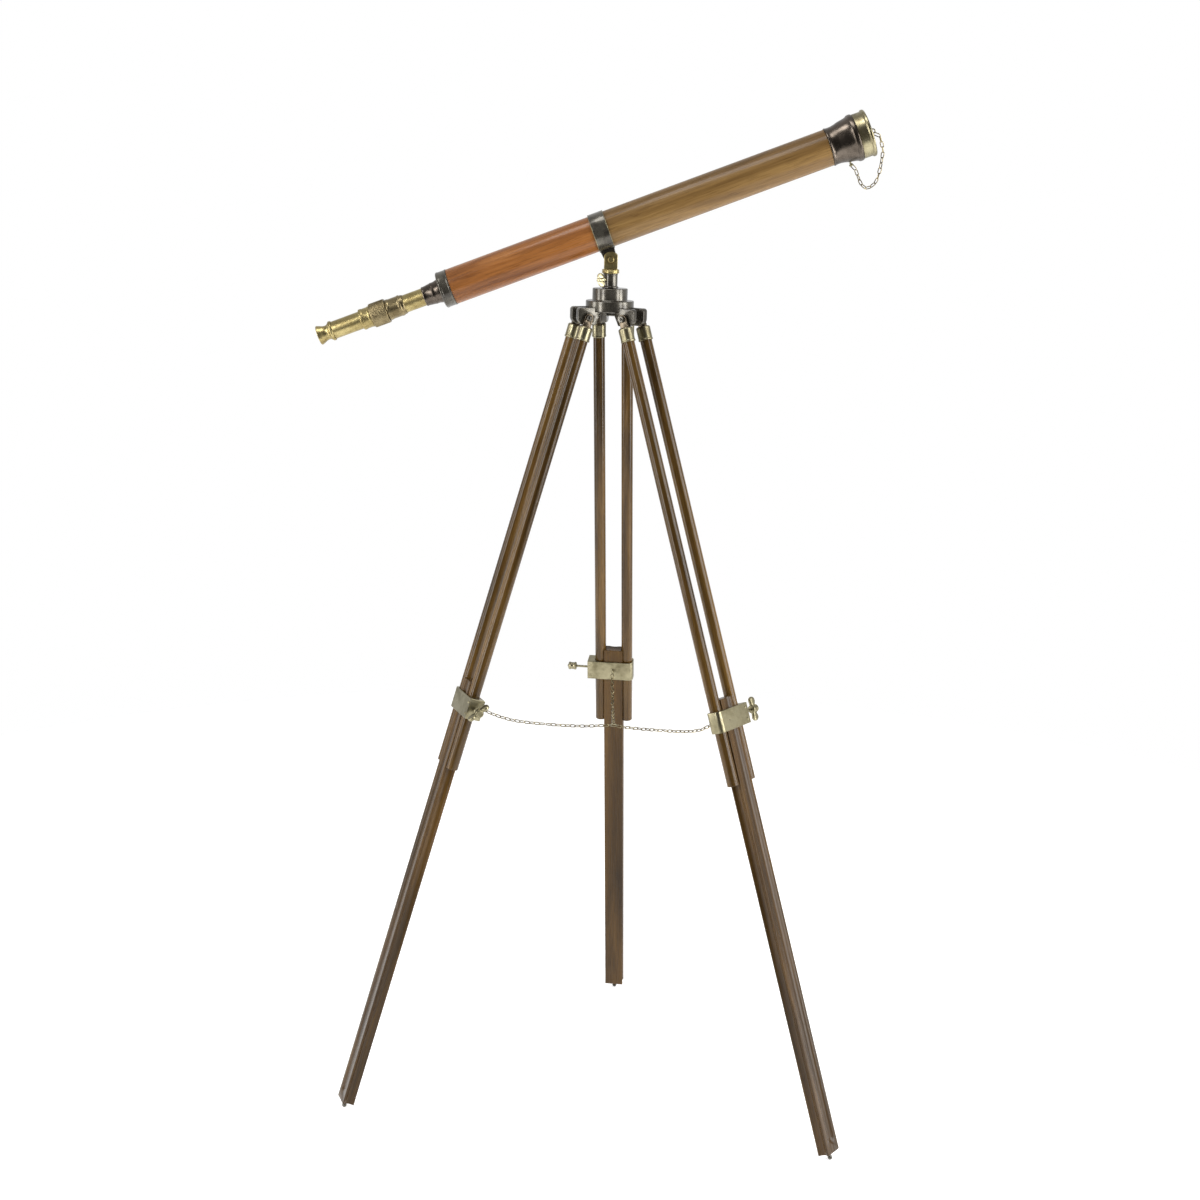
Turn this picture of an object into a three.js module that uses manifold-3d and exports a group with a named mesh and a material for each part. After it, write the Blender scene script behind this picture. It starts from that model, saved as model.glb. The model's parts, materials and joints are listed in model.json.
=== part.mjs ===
// A wood and brass telescope on a folding floor tripod, in millimetres, +Z up.
// The floor is z = 0, and the origin lies under the middle of the whole object's box.
import * as THREE from 'three';
import { mergeVertices } from 'three/addons/utils/BufferGeometryUtils.js';
import Module from 'manifold-3d';

const wasm = await Module();
wasm.setup();

const DEG = Math.PI / 180;

// ---- Fits ----
const TOUCH = 0.3;       // gap left between pieces that touch
const BIG = 30;          // facets round the barrels
const MEDIUM = 20;       // facets round the eyepiece end and the head's small turnings
const SMALL = 12;        // facets round rods, ferrules, screws and pins

// ---- Swivel axis, in the object's frame ----
const HEAD_X = 29.2;
const HEAD_Y = -7.4;

// ---- Tripod: each leg hangs from a hinge bolt at HINGE_R from the swivel axis ----
const HINGE_R = 45;
const HINGE_Z = 1311;
const BOLT_R = 2.5;
const BOLT_HOLE_R = 2.8;
// Distances down a leg are measured from its hinge: its rods' ends, its clamp's middle and its bar's top.
const LEGS = [
  { name: 'back_leg', azimuth: 82.14, spread: 12.1, rodEnd: 748, clampAt: 647, barTop: 608 },
  { name: 'left_leg', azimuth: 202.14, spread: 17.0, rodEnd: 760, clampAt: 652, barTop: 615 },
  { name: 'right_leg', azimuth: 322.14, spread: 18.8, rodEnd: 760, clampAt: 655.5, barTop: 621 },
];

// ---- Leg sections ----
const ROD_R = 9.6;
const ROD_OFFSET = 23.3;  // each rod's distance from the leg's middle, along the hinge bolt
const ROD_TOP = 15;
const FERRULE_R = 11.75;
const FERRULE_TOP = 14;
const FERRULE_END = 37;
const TONGUE_THICK = 5.8;
const TONGUE_R = 7;

const BAR_WIDTH = 33.4;
const BAR_THICK = 19.8;
const BAR_ROUND = 1.2;
const BAR_FOOT_GAP = 12;  // the bar's square end stands this far above the foot's tip
const FLUTE_R = 10;       // the bar's edges are hollowed to run along the rods
const GROOVE_WIDTH = 18;
const GROOVE_DEEP = 2.2;
const GROOVE_STOP = 16;   // the groove's round end, above the bar's lower end

const CLAMP_TALL = 34;
const CLAMP_HALF = 13;    // half the strap's depth
const CLAMP_LEFT = -35;   // the strap's closed end, which wraps round a rod
const CLAMP_RIGHT = 45.5; // its screw end
const CLAMP_BORE = 10.1;  // half-height of the opening round the rods and the bar
const CLAMP_CORNER = 8;
const EYELET_R = 4;
const EYELET_WIRE = 1.2;

const SCREW_R = 2;
const CLAMP_HUB = { length: 14, radius: 7, span: 20, ear: 7, thick: 6 };
const LOCK_HUB = { length: 14, radius: 4.2, span: 11, ear: 7, thick: 2.8 };
// Where each clamp screw's hub starts, along the hinge bolt, and the angle of its wings from across the leg.
const HUB_AT = { back_leg: 67, left_leg: 56, right_leg: 71 };
const WING_TURN = { back_leg: 27, left_leg: 50, right_leg: 90 };

const FOOT_PIN_R = 3.2;
const FOOT_BALL_R = 4;
const FOOT_FLAT = 3.6;    // height of the ball's centre above its flat tip

// ---- Chains: route points in the swivel axis's frame ----
const CHAIN_D = 4.8;
const RING_CENTRE = [24, -15, 632];
const RING_R = 6;
const RING_WIRE = 0.9;
const CHAIN_ROUTES = {
  back_leg: {
    outer: [[21.9, 157.9, 673.9], [22.1, 150.2, 665], [22.5, 130.5, 651], [22.8, 109, 641.3], [23.1, 85, 635]],
    inner: [[23.1, 84.2, 634.8], [23.4, 60, 630.5], [23.7, 35, 628.8], [23.9, 12, 630], [23.9, -7.3, 632.2]],
  },
  left_leg: {
    outer: [[-198.8, -80.9, 680.9], [-191, -78.8, 673], [-172, -73, 662.5], [-146, -65.4, 652.5],
      [-118, -57, 646], [-90, -48.9, 641.4]],
    inner: [[-89.2, -48.6, 641.3], [-62, -40.6, 637.4], [-34, -32.3, 634.3], [-8, -24.5, 632.8],
      [16.7, -17.2, 632.2]],
  },
  right_leg: {
    outer: [[185.9, -144.6, 683.5], [178.7, -138.7, 674.2], [164.3, -127.2, 662.2], [146, -112.6, 654.4],
      [124, -94.9, 648.4], [105, -79.7, 644.5]],
    inner: [[104.4, -79.2, 644.4], [82, -61.3, 639.9], [62, -45.3, 636.3], [45, -31.7, 633.6],
      [30, -19.8, 632.2]],
  },
};
const CAP_CHAIN_ROUTE = [[416.8, 0, 1602.5], [421, 0, 1589], [423, 0, 1580], [422, 0, 1566], [420, 0, 1551],
  [416, 0, 1535], [409, 0, 1526], [400, 0, 1522.5], [392, 0, 1528], [386, 0, 1540], [381.5, 0, 1550.5]];

// ---- Head ----
const FLANGE_R = 38.6;
const FLANGE_BOTTOM = 1319.5;
const FLANGE_TOP = 1337;
const DRUM_R = 28.2;
const DRUM_TOP = 1356.3;
const SOCKET_R = 11.9;
const SOCKET_TOP = 1379.5;
const SPIGOT_R = 8;
const SPIGOT_BOTTOM = 1341;
const SPINDLE_R = 5;
const LUG_MIDDLE = 14;
const LUG_THICK = 10.6;
const LUG_BELOW = 12;     // the lug's lower edge, below the hinge
const LUG_ABOVE = 16;
const LUG_REACH = 16;     // beyond the hinge, outwards
const LUG_INNER_R = 24;   // the lug's root inside the flange
const LUG_CORNER = 5;

const LOCK_AZIMUTH = 222;
const LOCK_Z = 1369.5;
const LOCK_TILT = 105;    // the wings' angle from level as the screw stands tightened

// ---- Swivel clevis and tilt pivot ----
const COLLAR_R = 14;
const COLLAR_TOP = 1386.5;
const CLEVIS_HALF = 10.75;
const SLOT_HALF = 5.4;
const SLOT_FLOOR = 1391;
const PIVOT_Z = 1401.5;
const PIVOT_PIN_R = 3;
const CHEEK_TOP_R = 12.8;

// ---- Telescope; s runs along the barrel from below the pivot towards the objective ----
const ELEVATION = 21.3;
const BARREL_RISE = 46.3; // barrel axis above the pivot
const FRONT_R = 28.9;
const REAR_R = 28.6;
const TURNED_DOWN_R = REAR_R - 1.6;
const WOOD_BORE = 24.5;
const FRONT_END = 380;
const REAR_END = -266;
const REAR_SHOULDER = -254;
const BAND_R = 30.9;
const BAND_HALF = 12;
const SLEEVE_HALF = 32;
const STUD_S = 405;
const STUD_FOOT = 33.2;   // the stud's foot stands on the bell's cone
const COLLAR_BORE = TURNED_DOWN_R + TOUCH;

const material = {
  rod_wood: new THREE.MeshStandardMaterial({ color: 0x5a4334, roughness: 0.35, metalness: 0 }),
  bar_wood: new THREE.MeshStandardMaterial({ color: 0x5c3d28, roughness: 0.4, metalness: 0 }),
  front_wood: new THREE.MeshStandardMaterial({ color: 0x966e41, roughness: 0.35, metalness: 0 }),
  rear_wood: new THREE.MeshStandardMaterial({ color: 0x9b5f2d, roughness: 0.35, metalness: 0 }),
  antique_brass: new THREE.MeshStandardMaterial({ color: 0x968c64, roughness: 0.45, metalness: 1 }),
  bright_brass: new THREE.MeshStandardMaterial({ color: 0xc8a860, roughness: 0.28, metalness: 1 }),
  pale_brass: new THREE.MeshStandardMaterial({ color: 0xc8c3a0, roughness: 0.3, metalness: 1 }),
  dark_bronze: new THREE.MeshStandardMaterial({ color: 0x4a4234, roughness: 0.35, metalness: 1 }),
  black_metal: new THREE.MeshStandardMaterial({ color: 0x23221f, roughness: 0.3, metalness: 0.6 }),
  glass: new THREE.MeshStandardMaterial({ color: 0xdfe8ea, roughness: 0.05, metalness: 0 }),
};

// ---- Geometry helpers ----

function mesh(name, geometry, finish) {
  const piece = new THREE.Mesh(geometry, finish.clone());
  piece.name = name;
  return piece;
}

function arcPoints(centreA, centreB, radius, from, to, steps) {
  const points = [];
  for (let i = 0; i <= steps; i += 1) {
    const angle = (from + (to - from) * i / steps) * DEG;
    points.push([centreA + radius * Math.cos(angle), centreB + radius * Math.sin(angle)]);
  }
  return points;
}

// Turns an anticlockwise [radius, height] outline about the Z axis.
function turned(outline, facets) {
  const points = outline.map(([radius, height]) => new THREE.Vector2(radius, height));
  const first = points[0];
  const last = points[points.length - 1];
  if (first.x > 0 || last.x > 0) {
    points.push(first.clone());
  }
  const geometry = new THREE.LatheGeometry(points, facets);
  geometry.rotateX(Math.PI / 2);
  return geometry;
}

function tube(inner, outer, bottom, top, facets) {
  return turned([[inner, bottom], [outer, bottom], [outer, top], [inner, top]], facets);
}

function rod(radius, bottom, top, facets) {
  return turned([[0, bottom], [radius, bottom], [radius, top], [0, top]], facets);
}

// A rod along Y, at x = 0 and z = 0.
function crossRod(radius, from, to, facets) {
  const geometry = rod(radius, from, to, facets);
  geometry.rotateX(-Math.PI / 2);
  return geometry;
}

function box(xLow, xHigh, yLow, yHigh, zLow, zHigh) {
  const geometry = new THREE.BoxGeometry(xHigh - xLow, yHigh - yLow, zHigh - zLow);
  geometry.translate((xLow + xHigh) / 2, (yLow + yHigh) / 2, (zLow + zHigh) / 2);
  return geometry;
}

function extruded(outline, depth, holes = []) {
  const shape = new THREE.Shape(outline.map(([a, b]) => new THREE.Vector2(a, b)));
  for (const hole of holes) {
    shape.holes.push(new THREE.Path(hole.map(([a, b]) => new THREE.Vector2(a, b))));
  }
  return new THREE.ExtrudeGeometry(shape, { depth, bevelEnabled: false, steps: 1 });
}

// Extrudes an outline drawn in (x, z) to a plate centred on y = middle.
function plateAcross(outline, middle, thick, holes = []) {
  const geometry = extruded(outline, thick, holes);
  geometry.rotateX(Math.PI / 2);
  geometry.translate(0, middle + thick / 2, 0);
  return geometry;
}

function solidOf(geometry) {
  const bare = geometry.clone();
  bare.deleteAttribute('normal');
  bare.deleteAttribute('uv');
  const merged = mergeVertices(bare, 1e-4);
  const index = merged.index.array;
  const triangles = [];
  for (let i = 0; i < index.length; i += 3) {
    const [a, b, c] = [index[i], index[i + 1], index[i + 2]];
    if (a !== b && b !== c && a !== c) {
      triangles.push(a, b, c);
    }
  }
  return new wasm.Manifold(new wasm.Mesh({
    numProp: 3,
    vertProperties: new Float32Array(merged.attributes.position.array),
    triVerts: new Uint32Array(triangles),
  }));
}

function geometryOf(solid) {
  const result = solid.getMesh();
  const geometry = new THREE.BufferGeometry();
  geometry.setAttribute('position', new THREE.BufferAttribute(result.vertProperties, 3));
  geometry.setIndex(new THREE.BufferAttribute(result.triVerts, 1));
  geometry.computeVertexNormals();
  return geometry;
}

function joined(...geometries) {
  return geometryOf(geometries.map(solidOf).reduce((sum, next) => sum.add(next)));
}

function cut(geometry, ...cutters) {
  return geometryOf(cutters.map(solidOf).reduce((rest, next) => rest.subtract(next), solidOf(geometry)));
}

function moved(geometry, x, y, z) {
  return geometry.clone().translate(x, y, z);
}

function torus(radius, wire, around, section) {
  return new THREE.TorusGeometry(radius, wire, section, around);
}

// ---- Tripod legs, in a frame with x outwards, y along the hinge bolt and z up the leg ----

function hingeBolt() {
  const reach = ROD_OFFSET + TONGUE_THICK / 2 + TOUCH;
  const headThick = 4;
  const nutThick = 4.5;
  const headR = 5.4;
  const shank = crossRod(BOLT_R, -reach - nutThick - 2, reach + 1, 12);
  const head = crossRod(headR, reach, reach + headThick, 6);
  const nut = crossRod(headR, -reach - nutThick, -reach, 6);
  return joined(shank, head, nut);
}

function ferrule(side) {
  const middle = side * ROD_OFFSET;
  const cup = moved(rod(FERRULE_R, -FERRULE_END, -FERRULE_TOP, SMALL), 0, middle, 0);
  const bore = moved(rod(ROD_R + TOUCH, -FERRULE_END - 1, -ROD_TOP + TOUCH, SMALL), 0, middle, 0);
  const eye = arcPoints(0, 0, TONGUE_R, 0, 180, 10);
  const tongue = plateAcross([...eye, [-TONGUE_R, -FERRULE_TOP - 0.5], [TONGUE_R, -FERRULE_TOP - 0.5]],
    middle, TONGUE_THICK);
  const hole = crossRod(BOLT_HOLE_R, middle - 5, middle + 5, 12);
  return cut(joined(cup, tongue), bore, hole);
}

function legRod(leg, side) {
  return moved(rod(ROD_R, -leg.rodEnd, -ROD_TOP, SMALL), 0, side * ROD_OFFSET, 0);
}

function clampStrap(leg) {
  const corner = CLAMP_CORNER;
  const opening = [
    ...arcPoints(ROD_OFFSET, 0, CLAMP_BORE, 90, -90, 8),
    ...arcPoints(-ROD_OFFSET, 0, CLAMP_BORE, 270, 90, 8),
  ];
  const outline = [
    [CLAMP_RIGHT, -CLAMP_HALF + 1], [CLAMP_RIGHT, CLAMP_HALF - 1], [CLAMP_RIGHT - 1, CLAMP_HALF],
    ...arcPoints(CLAMP_LEFT + corner, CLAMP_HALF - corner, corner, 90, 180, 5),
    ...arcPoints(CLAMP_LEFT + corner, -CLAMP_HALF + corner, corner, 180, 270, 5),
    [CLAMP_RIGHT - 1, -CLAMP_HALF],
  ];
  const strap = extruded(outline, CLAMP_TALL, [opening]);
  strap.rotateZ(Math.PI / 2);
  strap.translate(0, 0, -CLAMP_TALL / 2);
  const screwHole = crossRod(SCREW_R + TOUCH, ROD_OFFSET, CLAMP_RIGHT + 1, SMALL);
  const eyelet = torus(EYELET_R, EYELET_WIRE, 14, 6);
  eyelet.rotateX(Math.PI / 2);
  eyelet.translate(-CLAMP_HALF - EYELET_R / 2, 0, 0);
  const reach = 2 * EYELET_R;
  const inside = box(-CLAMP_HALF + 0.5, -CLAMP_HALF + reach, -reach, reach, -reach, reach);
  return moved(cut(joined(strap, cut(eyelet, inside)), screwHole), 0, 0, -leg.clampAt);
}

// A wing screw along +Z: its tip, and a drum-shaped hub with two round ears that starts at `start`.
function wingScrew(tip, start, hub) {
  const end = start + hub.length;
  const shank = rod(SCREW_R, tip, start + 1, SMALL);
  const body = turned([[0, start], [hub.radius - 1, start], [hub.radius, start + 1.5], [hub.radius, end - 1.5],
    [hub.radius - 1.5, end], [0, end]], SMALL);
  const wing = [
    [0, start + 1],
    [hub.radius * 0.7, start + 1],
    ...arcPoints(hub.span - hub.ear, (start + end) / 2, hub.ear, -75, 135, 7),
    [0, end - 2],
  ];
  const right = plateAcross(wing, 0, hub.thick);
  const left = right.clone().rotateZ(Math.PI);
  return joined(shank, body, right, left);
}

function clampScrew(leg) {
  const tip = ROD_OFFSET + CLAMP_BORE - 0.2;
  const geometry = wingScrew(tip, HUB_AT[leg.name], CLAMP_HUB);
  geometry.rotateZ(WING_TURN[leg.name] * DEG);
  geometry.rotateX(-Math.PI / 2);
  geometry.translate(0, 0, -leg.clampAt);
  return geometry;
}

function barOutline() {
  const half = BAR_WIDTH / 2;
  const face = BAR_THICK / 2;
  const edge = Math.asin(Math.sqrt(FLUTE_R ** 2 - (ROD_OFFSET - half) ** 2) / FLUTE_R) / DEG;
  const side = face - BAR_ROUND;
  const flat = half - BAR_ROUND;
  return [
    [half, -side], ...arcPoints(ROD_OFFSET, 0, FLUTE_R, 180 + edge, 180 - edge, 4), [half, side], [flat, face],
    [-flat, face], [-half, side], ...arcPoints(-ROD_OFFSET, 0, FLUTE_R, edge, -edge, 4), [-half, -side],
    [-flat, -face], [flat, -face],
  ];
}

function lowerBar(leg, length) {
  const end = length - BAR_FOOT_GAP;
  const bar = extruded(barOutline(), end - leg.barTop);
  bar.rotateZ(Math.PI / 2);
  bar.translate(0, 0, -end);
  const cutterR = (GROOVE_WIDTH ** 2 / 4 + GROOVE_DEEP ** 2) / (2 * GROOVE_DEEP);
  const stop = -end + GROOVE_STOP + GROOVE_WIDTH / 2;
  const round = arcPoints(0, stop, cutterR, -90, 0, 8);
  const cutter = turned([...round, [cutterR, -leg.barTop + 1], [0, -leg.barTop + 1]], BIG);
  cutter.translate(BAR_THICK / 2 - GROOVE_DEEP + cutterR, 0, 0);
  return cut(bar, cutter);
}

function foot(leg, length) {
  const centre = (HINGE_Z - FOOT_FLAT) / Math.cos(leg.spread * DEG);
  const top = -(length - BAR_FOOT_GAP) - TOUCH;
  const pin = turned([[0, -centre], [FOOT_PIN_R - 1, -centre], [FOOT_PIN_R, top - 3], [FOOT_PIN_R, top],
    [0, top]], SMALL);
  const ball = turned(arcPoints(0, -centre, FOOT_BALL_R, -90, 90, 8), SMALL);
  const floor = box(-20, 20, -20, 20, -30, 0);
  floor.translate(0, 0, -FOOT_FLAT);
  floor.rotateY(leg.spread * DEG);
  floor.translate(0, 0, -centre);
  return cut(joined(pin, ball), floor);
}

function legGroup(leg) {
  const length = HINGE_Z / Math.cos(leg.spread * DEG);
  const group = new THREE.Group();
  group.rotation.y = -leg.spread * DEG;
  group.position.set(HINGE_R, 0, HINGE_Z);
  group.add(mesh(`${leg.name}_hinge_bolt`, hingeBolt(), material.black_metal));
  for (const [label, side] of [['1', -1], ['2', 1]]) {
    group.add(mesh(`${leg.name}_rod_${label}`, legRod(leg, side), material.rod_wood));
    group.add(mesh(`${leg.name}_ferrule_${label}`, ferrule(side), material.antique_brass));
  }
  group.add(mesh(`${leg.name}_clamp`, clampStrap(leg), material.antique_brass));
  group.add(mesh(`${leg.name}_wing_screw`, clampScrew(leg), material.antique_brass));
  group.add(mesh(`${leg.name}_lower_bar`, lowerBar(leg, length), material.bar_wood));
  group.add(mesh(`${leg.name}_foot`, foot(leg, length), material.black_metal));
  const turn = new THREE.Group();
  turn.rotation.z = leg.azimuth * DEG;
  turn.add(group);
  return turn;
}

// ---- Chains ----

function cordSection() {
  return new THREE.Shape(arcPoints(0, 0, CHAIN_D / 2, 0, 315, 7).map(([a, b]) => new THREE.Vector2(a, b)));
}

function cord(route) {
  const path = new THREE.CatmullRomCurve3(route.map((point) => new THREE.Vector3(...point)));
  const steps = Math.max(4, Math.round(path.getLength() / (2.4 * CHAIN_D)));
  return new THREE.ExtrudeGeometry(cordSection(), { steps, extrudePath: path, bevelEnabled: false });
}

function spreaderRing() {
  const geometry = torus(RING_R, RING_WIRE, 16, 6);
  geometry.translate(...RING_CENTRE);
  return geometry;
}

function addChains(group) {
  for (const leg of LEGS) {
    for (const half of ['outer', 'inner']) {
      const route = CHAIN_ROUTES[leg.name][half];
      group.add(mesh(`${leg.name}_chain_${half}`, cord(route), material.antique_brass));
    }
  }
  group.add(mesh('spreader_ring', spreaderRing(), material.antique_brass));
  group.add(mesh('cap_chain', cord(CAP_CHAIN_ROUTE), material.antique_brass));
}

// ---- Head ----

function lug(azimuth, side) {
  const root = LUG_INNER_R - HINGE_R;
  const outline = [
    [root, FLANGE_BOTTOM - HINGE_Z - LUG_CORNER],
    [-13, -LUG_BELOW],
    ...arcPoints(LUG_REACH - LUG_BELOW, 0, LUG_BELOW, -90, 0, 5),
    ...arcPoints(LUG_REACH - LUG_CORNER, LUG_ABOVE - LUG_CORNER, LUG_CORNER, 0, 90, 3),
    [root, LUG_ABOVE],
  ];
  const hole = arcPoints(0, 0, BOLT_HOLE_R, 0, 330, 11);
  const geometry = plateAcross(outline, side * LUG_MIDDLE, LUG_THICK, [hole]);
  geometry.translate(HINGE_R, 0, HINGE_Z);
  geometry.rotateZ(azimuth * DEG);
  return geometry;
}

function tripodHead() {
  const bore = SPIGOT_R + TOUCH;
  const edge = 1.5;
  const body = turned([[0, FLANGE_BOTTOM], [FLANGE_R - edge, FLANGE_BOTTOM], [FLANGE_R, FLANGE_BOTTOM + edge],
    [FLANGE_R, FLANGE_TOP - edge], [FLANGE_R - edge, FLANGE_TOP], [DRUM_R, FLANGE_TOP],
    [DRUM_R, DRUM_TOP - edge], [DRUM_R - edge, DRUM_TOP], [bore, DRUM_TOP], [bore, SPIGOT_BOTTOM - TOUCH],
    [0, SPIGOT_BOTTOM - TOUCH]], BIG);
  const lugs = [];
  for (const leg of LEGS) {
    lugs.push(lug(leg.azimuth, -1), lug(leg.azimuth, 1));
  }
  return joined(body, ...lugs);
}

function swivelSocket() {
  const bore = SPINDLE_R + TOUCH;
  const bottom = DRUM_TOP + TOUCH;
  const body = turned([[bore, SPIGOT_BOTTOM], [SPIGOT_R, SPIGOT_BOTTOM], [SPIGOT_R, bottom], [SOCKET_R, bottom],
    [SOCKET_R, SOCKET_TOP], [bore, SOCKET_TOP]], MEDIUM);
  const hole = rod(SCREW_R + TOUCH, 0, SOCKET_R + 2, 12);
  hole.rotateY(Math.PI / 2);
  hole.rotateZ(LOCK_AZIMUTH * DEG);
  hole.translate(0, 0, LOCK_Z);
  return cut(body, hole);
}

function lockScrew() {
  const geometry = wingScrew(SPINDLE_R + TOUCH, SOCKET_R + 1, LOCK_HUB);
  geometry.rotateZ(Math.PI / 2);
  geometry.rotateY(Math.PI / 2);
  geometry.rotateX(LOCK_TILT * DEG);
  geometry.rotateZ(LOCK_AZIMUTH * DEG);
  geometry.translate(0, 0, LOCK_Z);
  return geometry;
}

function swivelClevis() {
  const bottom = SOCKET_TOP + TOUCH;
  const spindle = rod(SPINDLE_R, SPIGOT_BOTTOM + 1, bottom + 1, SMALL);
  const collar = turned([[0, bottom], [COLLAR_R - 1, bottom], [COLLAR_R, bottom + 1],
    [COLLAR_R, COLLAR_TOP - 1], [COLLAR_R - 1, COLLAR_TOP], [0, COLLAR_TOP]], MEDIUM);
  const shoulder = Math.acos(CLEVIS_HALF / CHEEK_TOP_R) / DEG;
  const cheeks = plateAcross([
    [-CLEVIS_HALF, COLLAR_TOP - 1],
    [CLEVIS_HALF, COLLAR_TOP - 1],
    ...arcPoints(0, PIVOT_Z, CHEEK_TOP_R, shoulder, 180 - shoulder, 8),
  ], 0, 2 * CLEVIS_HALF);
  const slot = box(-20, 20, -SLOT_HALF, SLOT_HALF, SLOT_FLOOR, PIVOT_Z + 20);
  const hole = moved(crossRod(PIVOT_PIN_R + TOUCH, -20, 20, SMALL), 0, 0, PIVOT_Z);
  return cut(joined(spindle, collar, cheeks), slot, hole);
}

function tiltPin() {
  const face = CLEVIS_HALF + TOUCH;
  const headR = 5.2;
  const geometry = turned([[0, -face - 2.6], [headR - 1, -face - 2.6], [headR, -face - 1.6], [headR, -face],
    [PIVOT_PIN_R, -face], [PIVOT_PIN_R, face], [headR, face], [headR, face + 1.6], [headR - 1, face + 2.6],
    [0, face + 2.6]], SMALL);
  geometry.rotateX(-Math.PI / 2);
  geometry.translate(0, 0, PIVOT_Z);
  return geometry;
}

// ---- Telescope, in a frame with z along the barrel and x downwards at rest ----

function bandWithTongue() {
  const bore = FRONT_R + TOUCH;
  const ring = tube(bore - 2, BAND_R, -BAND_HALF, BAND_HALF, BIG);
  const end = PIVOT_Z - SLOT_FLOOR - 1;
  const tongue = plateAcross([
    [BAND_R - 3, -BAND_HALF + 0.5],
    [BAND_R + 0.5, -BAND_HALF + 0.5],
    ...arcPoints(BARREL_RISE, 0, end, -75, 75, 10),
    [BAND_R + 0.5, BAND_HALF - 0.5],
    [BAND_R - 3, BAND_HALF - 0.5],
  ], 0, 2 * SLOT_HALF - 0.8);
  const hole = moved(crossRod(PIVOT_PIN_R + TOUCH, -20, 20, SMALL), BARREL_RISE, 0, 0);
  const barrelHole = rod(bore, -BAND_HALF - 1, BAND_HALF + 1, BIG);
  return cut(joined(ring, tongue), barrelHole, hole);
}

function frontBarrel() {
  return tube(WOOD_BORE, FRONT_R, TOUCH / 2, FRONT_END, BIG);
}

function rearBarrel() {
  return turned([[WOOD_BORE, REAR_END], [TURNED_DOWN_R, REAR_END], [TURNED_DOWN_R, REAR_SHOULDER],
    [REAR_R, REAR_SHOULDER], [REAR_R, -TOUCH / 2], [WOOD_BORE, -TOUCH / 2]], BIG);
}

function joiningSleeve() {
  return tube(WOOD_BORE - 2, WOOD_BORE - TOUCH, -SLEEVE_HALF, SLEEVE_HALF, BIG);
}

function frontBell() {
  const spigot = WOOD_BORE - TOUCH;
  const start = FRONT_END + TOUCH;
  return turned([
    [22.6, FRONT_END - 24], [spigot, FRONT_END - 24], [spigot, start], [30, start], [29.5, 386], [29.5, 393],
    [30.6, 398], [32.4, 404], [33.2, 409], [34.3, 415], [36.2, 419.5], [37, 422], [37, 425.5], [36.2, 427],
    [33.3, 427], [33.3, 440], [31.2, 440], [31.2, 406], [28, 406], [22.6, 392],
  ], BIG);
}

function objectiveLens() {
  const edge = 30.9;
  return turned([[0, 404.8], [10, 405.1], [20, 405.9], [27.5, 406.7], [edge, 406.7], [edge, 411.5],
    [20, 414.2], [10, 415.4], [0, 415.8]], BIG);
}

function lensRing() {
  return tube(28.4, 30.9, 416.2, 420, BIG);
}

function chainStud() {
  const geometry = turned([[0, 0], [1.6, 0], [1.6, 3], [3, 3.6], [3, 5.4], [1.8, 6.6], [0, 6.6]], 12);
  geometry.rotateY(Math.PI / 2);
  geometry.translate(STUD_FOOT, 0, STUD_S);
  return geometry;
}

function dustCap() {
  const shell = turned([[33.6, 427.4], [35.5, 427.4], [35.5, 442.5], [37.4, 443.5], [37.4, 446.8], [36.4, 448],
    [0, 448], [0, 444], [33.6, 444]], BIG);
  const knob = turned([[0, 447], [4.5, 447], [4.5, 449.5], [2.2, 450.5], [2.2, 452], [0, 452]], 12);
  const loop = torus(3.4, 1.1, 14, 6);
  loop.rotateX(Math.PI / 2);
  loop.translate(0, 0, 453.6);
  return joined(shell, knob, loop);
}

function rearCollar() {
  const outer = 29.3;
  return turned([[19, -272], [outer - 1.2, -272], [outer, -270.8], [outer, REAR_SHOULDER - TOUCH],
    [COLLAR_BORE, REAR_SHOULDER - TOUCH], [COLLAR_BORE, -269], [19, -269]], BIG);
}

function rearAdapter() {
  return turned([[14.5, -301], [15.7, -301], [16.2, -293], [17, -285], [17.5, -280], [18.6, -274],
    [18.6, -268.6], [24.2, -268.6], [24.2, -240], [14.5, -240]], BIG);
}

function drawTube() {
  return turned([[12.9, -336.5], [14.2, -336.5], [14.2, -195], [17, -195], [17, -190], [12.9, -190]], MEDIUM);
}

function erectorLens() {
  return turned([[0, -232], [7, -231.4], [12.6, -229.8], [12.6, -226.2], [7, -224.6], [0, -224]], MEDIUM);
}

function focusBody() {
  return turned([[14.5, -390.8], [15.4, -390.8], [15.4, -363.7], [16.7, -363.7], [16.7, -341], [15.6, -337],
    [14.9, -334], [14.5, -334]], MEDIUM);
}

function focusRing() {
  return turned([[15.7, -390.8], [18.9, -390.8], [19.6, -389.8], [19.6, -365.2], [18.9, -364],
    [15.7, -364]], MEDIUM);
}

function rearSleeve() {
  return turned([[14.5, -409], [16.4, -409], [17, -408], [17, -391.2], [14.5, -391.2]], MEDIUM);
}

function eyepieceTube() {
  return turned([[12.9, -457], [14.15, -457], [14.15, -350], [12.9, -350]], MEDIUM);
}

function fieldLens() {
  return turned([[0, -402.6], [8, -402], [12.6, -400.4], [12.6, -397], [0, -397]], MEDIUM);
}

function eyecup() {
  return turned([[11.2, -482.5], [15.75, -482.5], [15.2, -480], [11.9, -471.5], [11.5, -468.5], [11.9, -465.5],
    [15.4, -462], [16, -461], [16, -458.2], [15.4, -457.3], [12.6, -457.3], [12.6, -452], [9.6, -452],
    [9.6, -471]], MEDIUM);
}

function eyeLens() {
  return turned([[0, -462.2], [6, -461.8], [9.3, -460.6], [9.3, -457], [0, -457]], MEDIUM);
}

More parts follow.
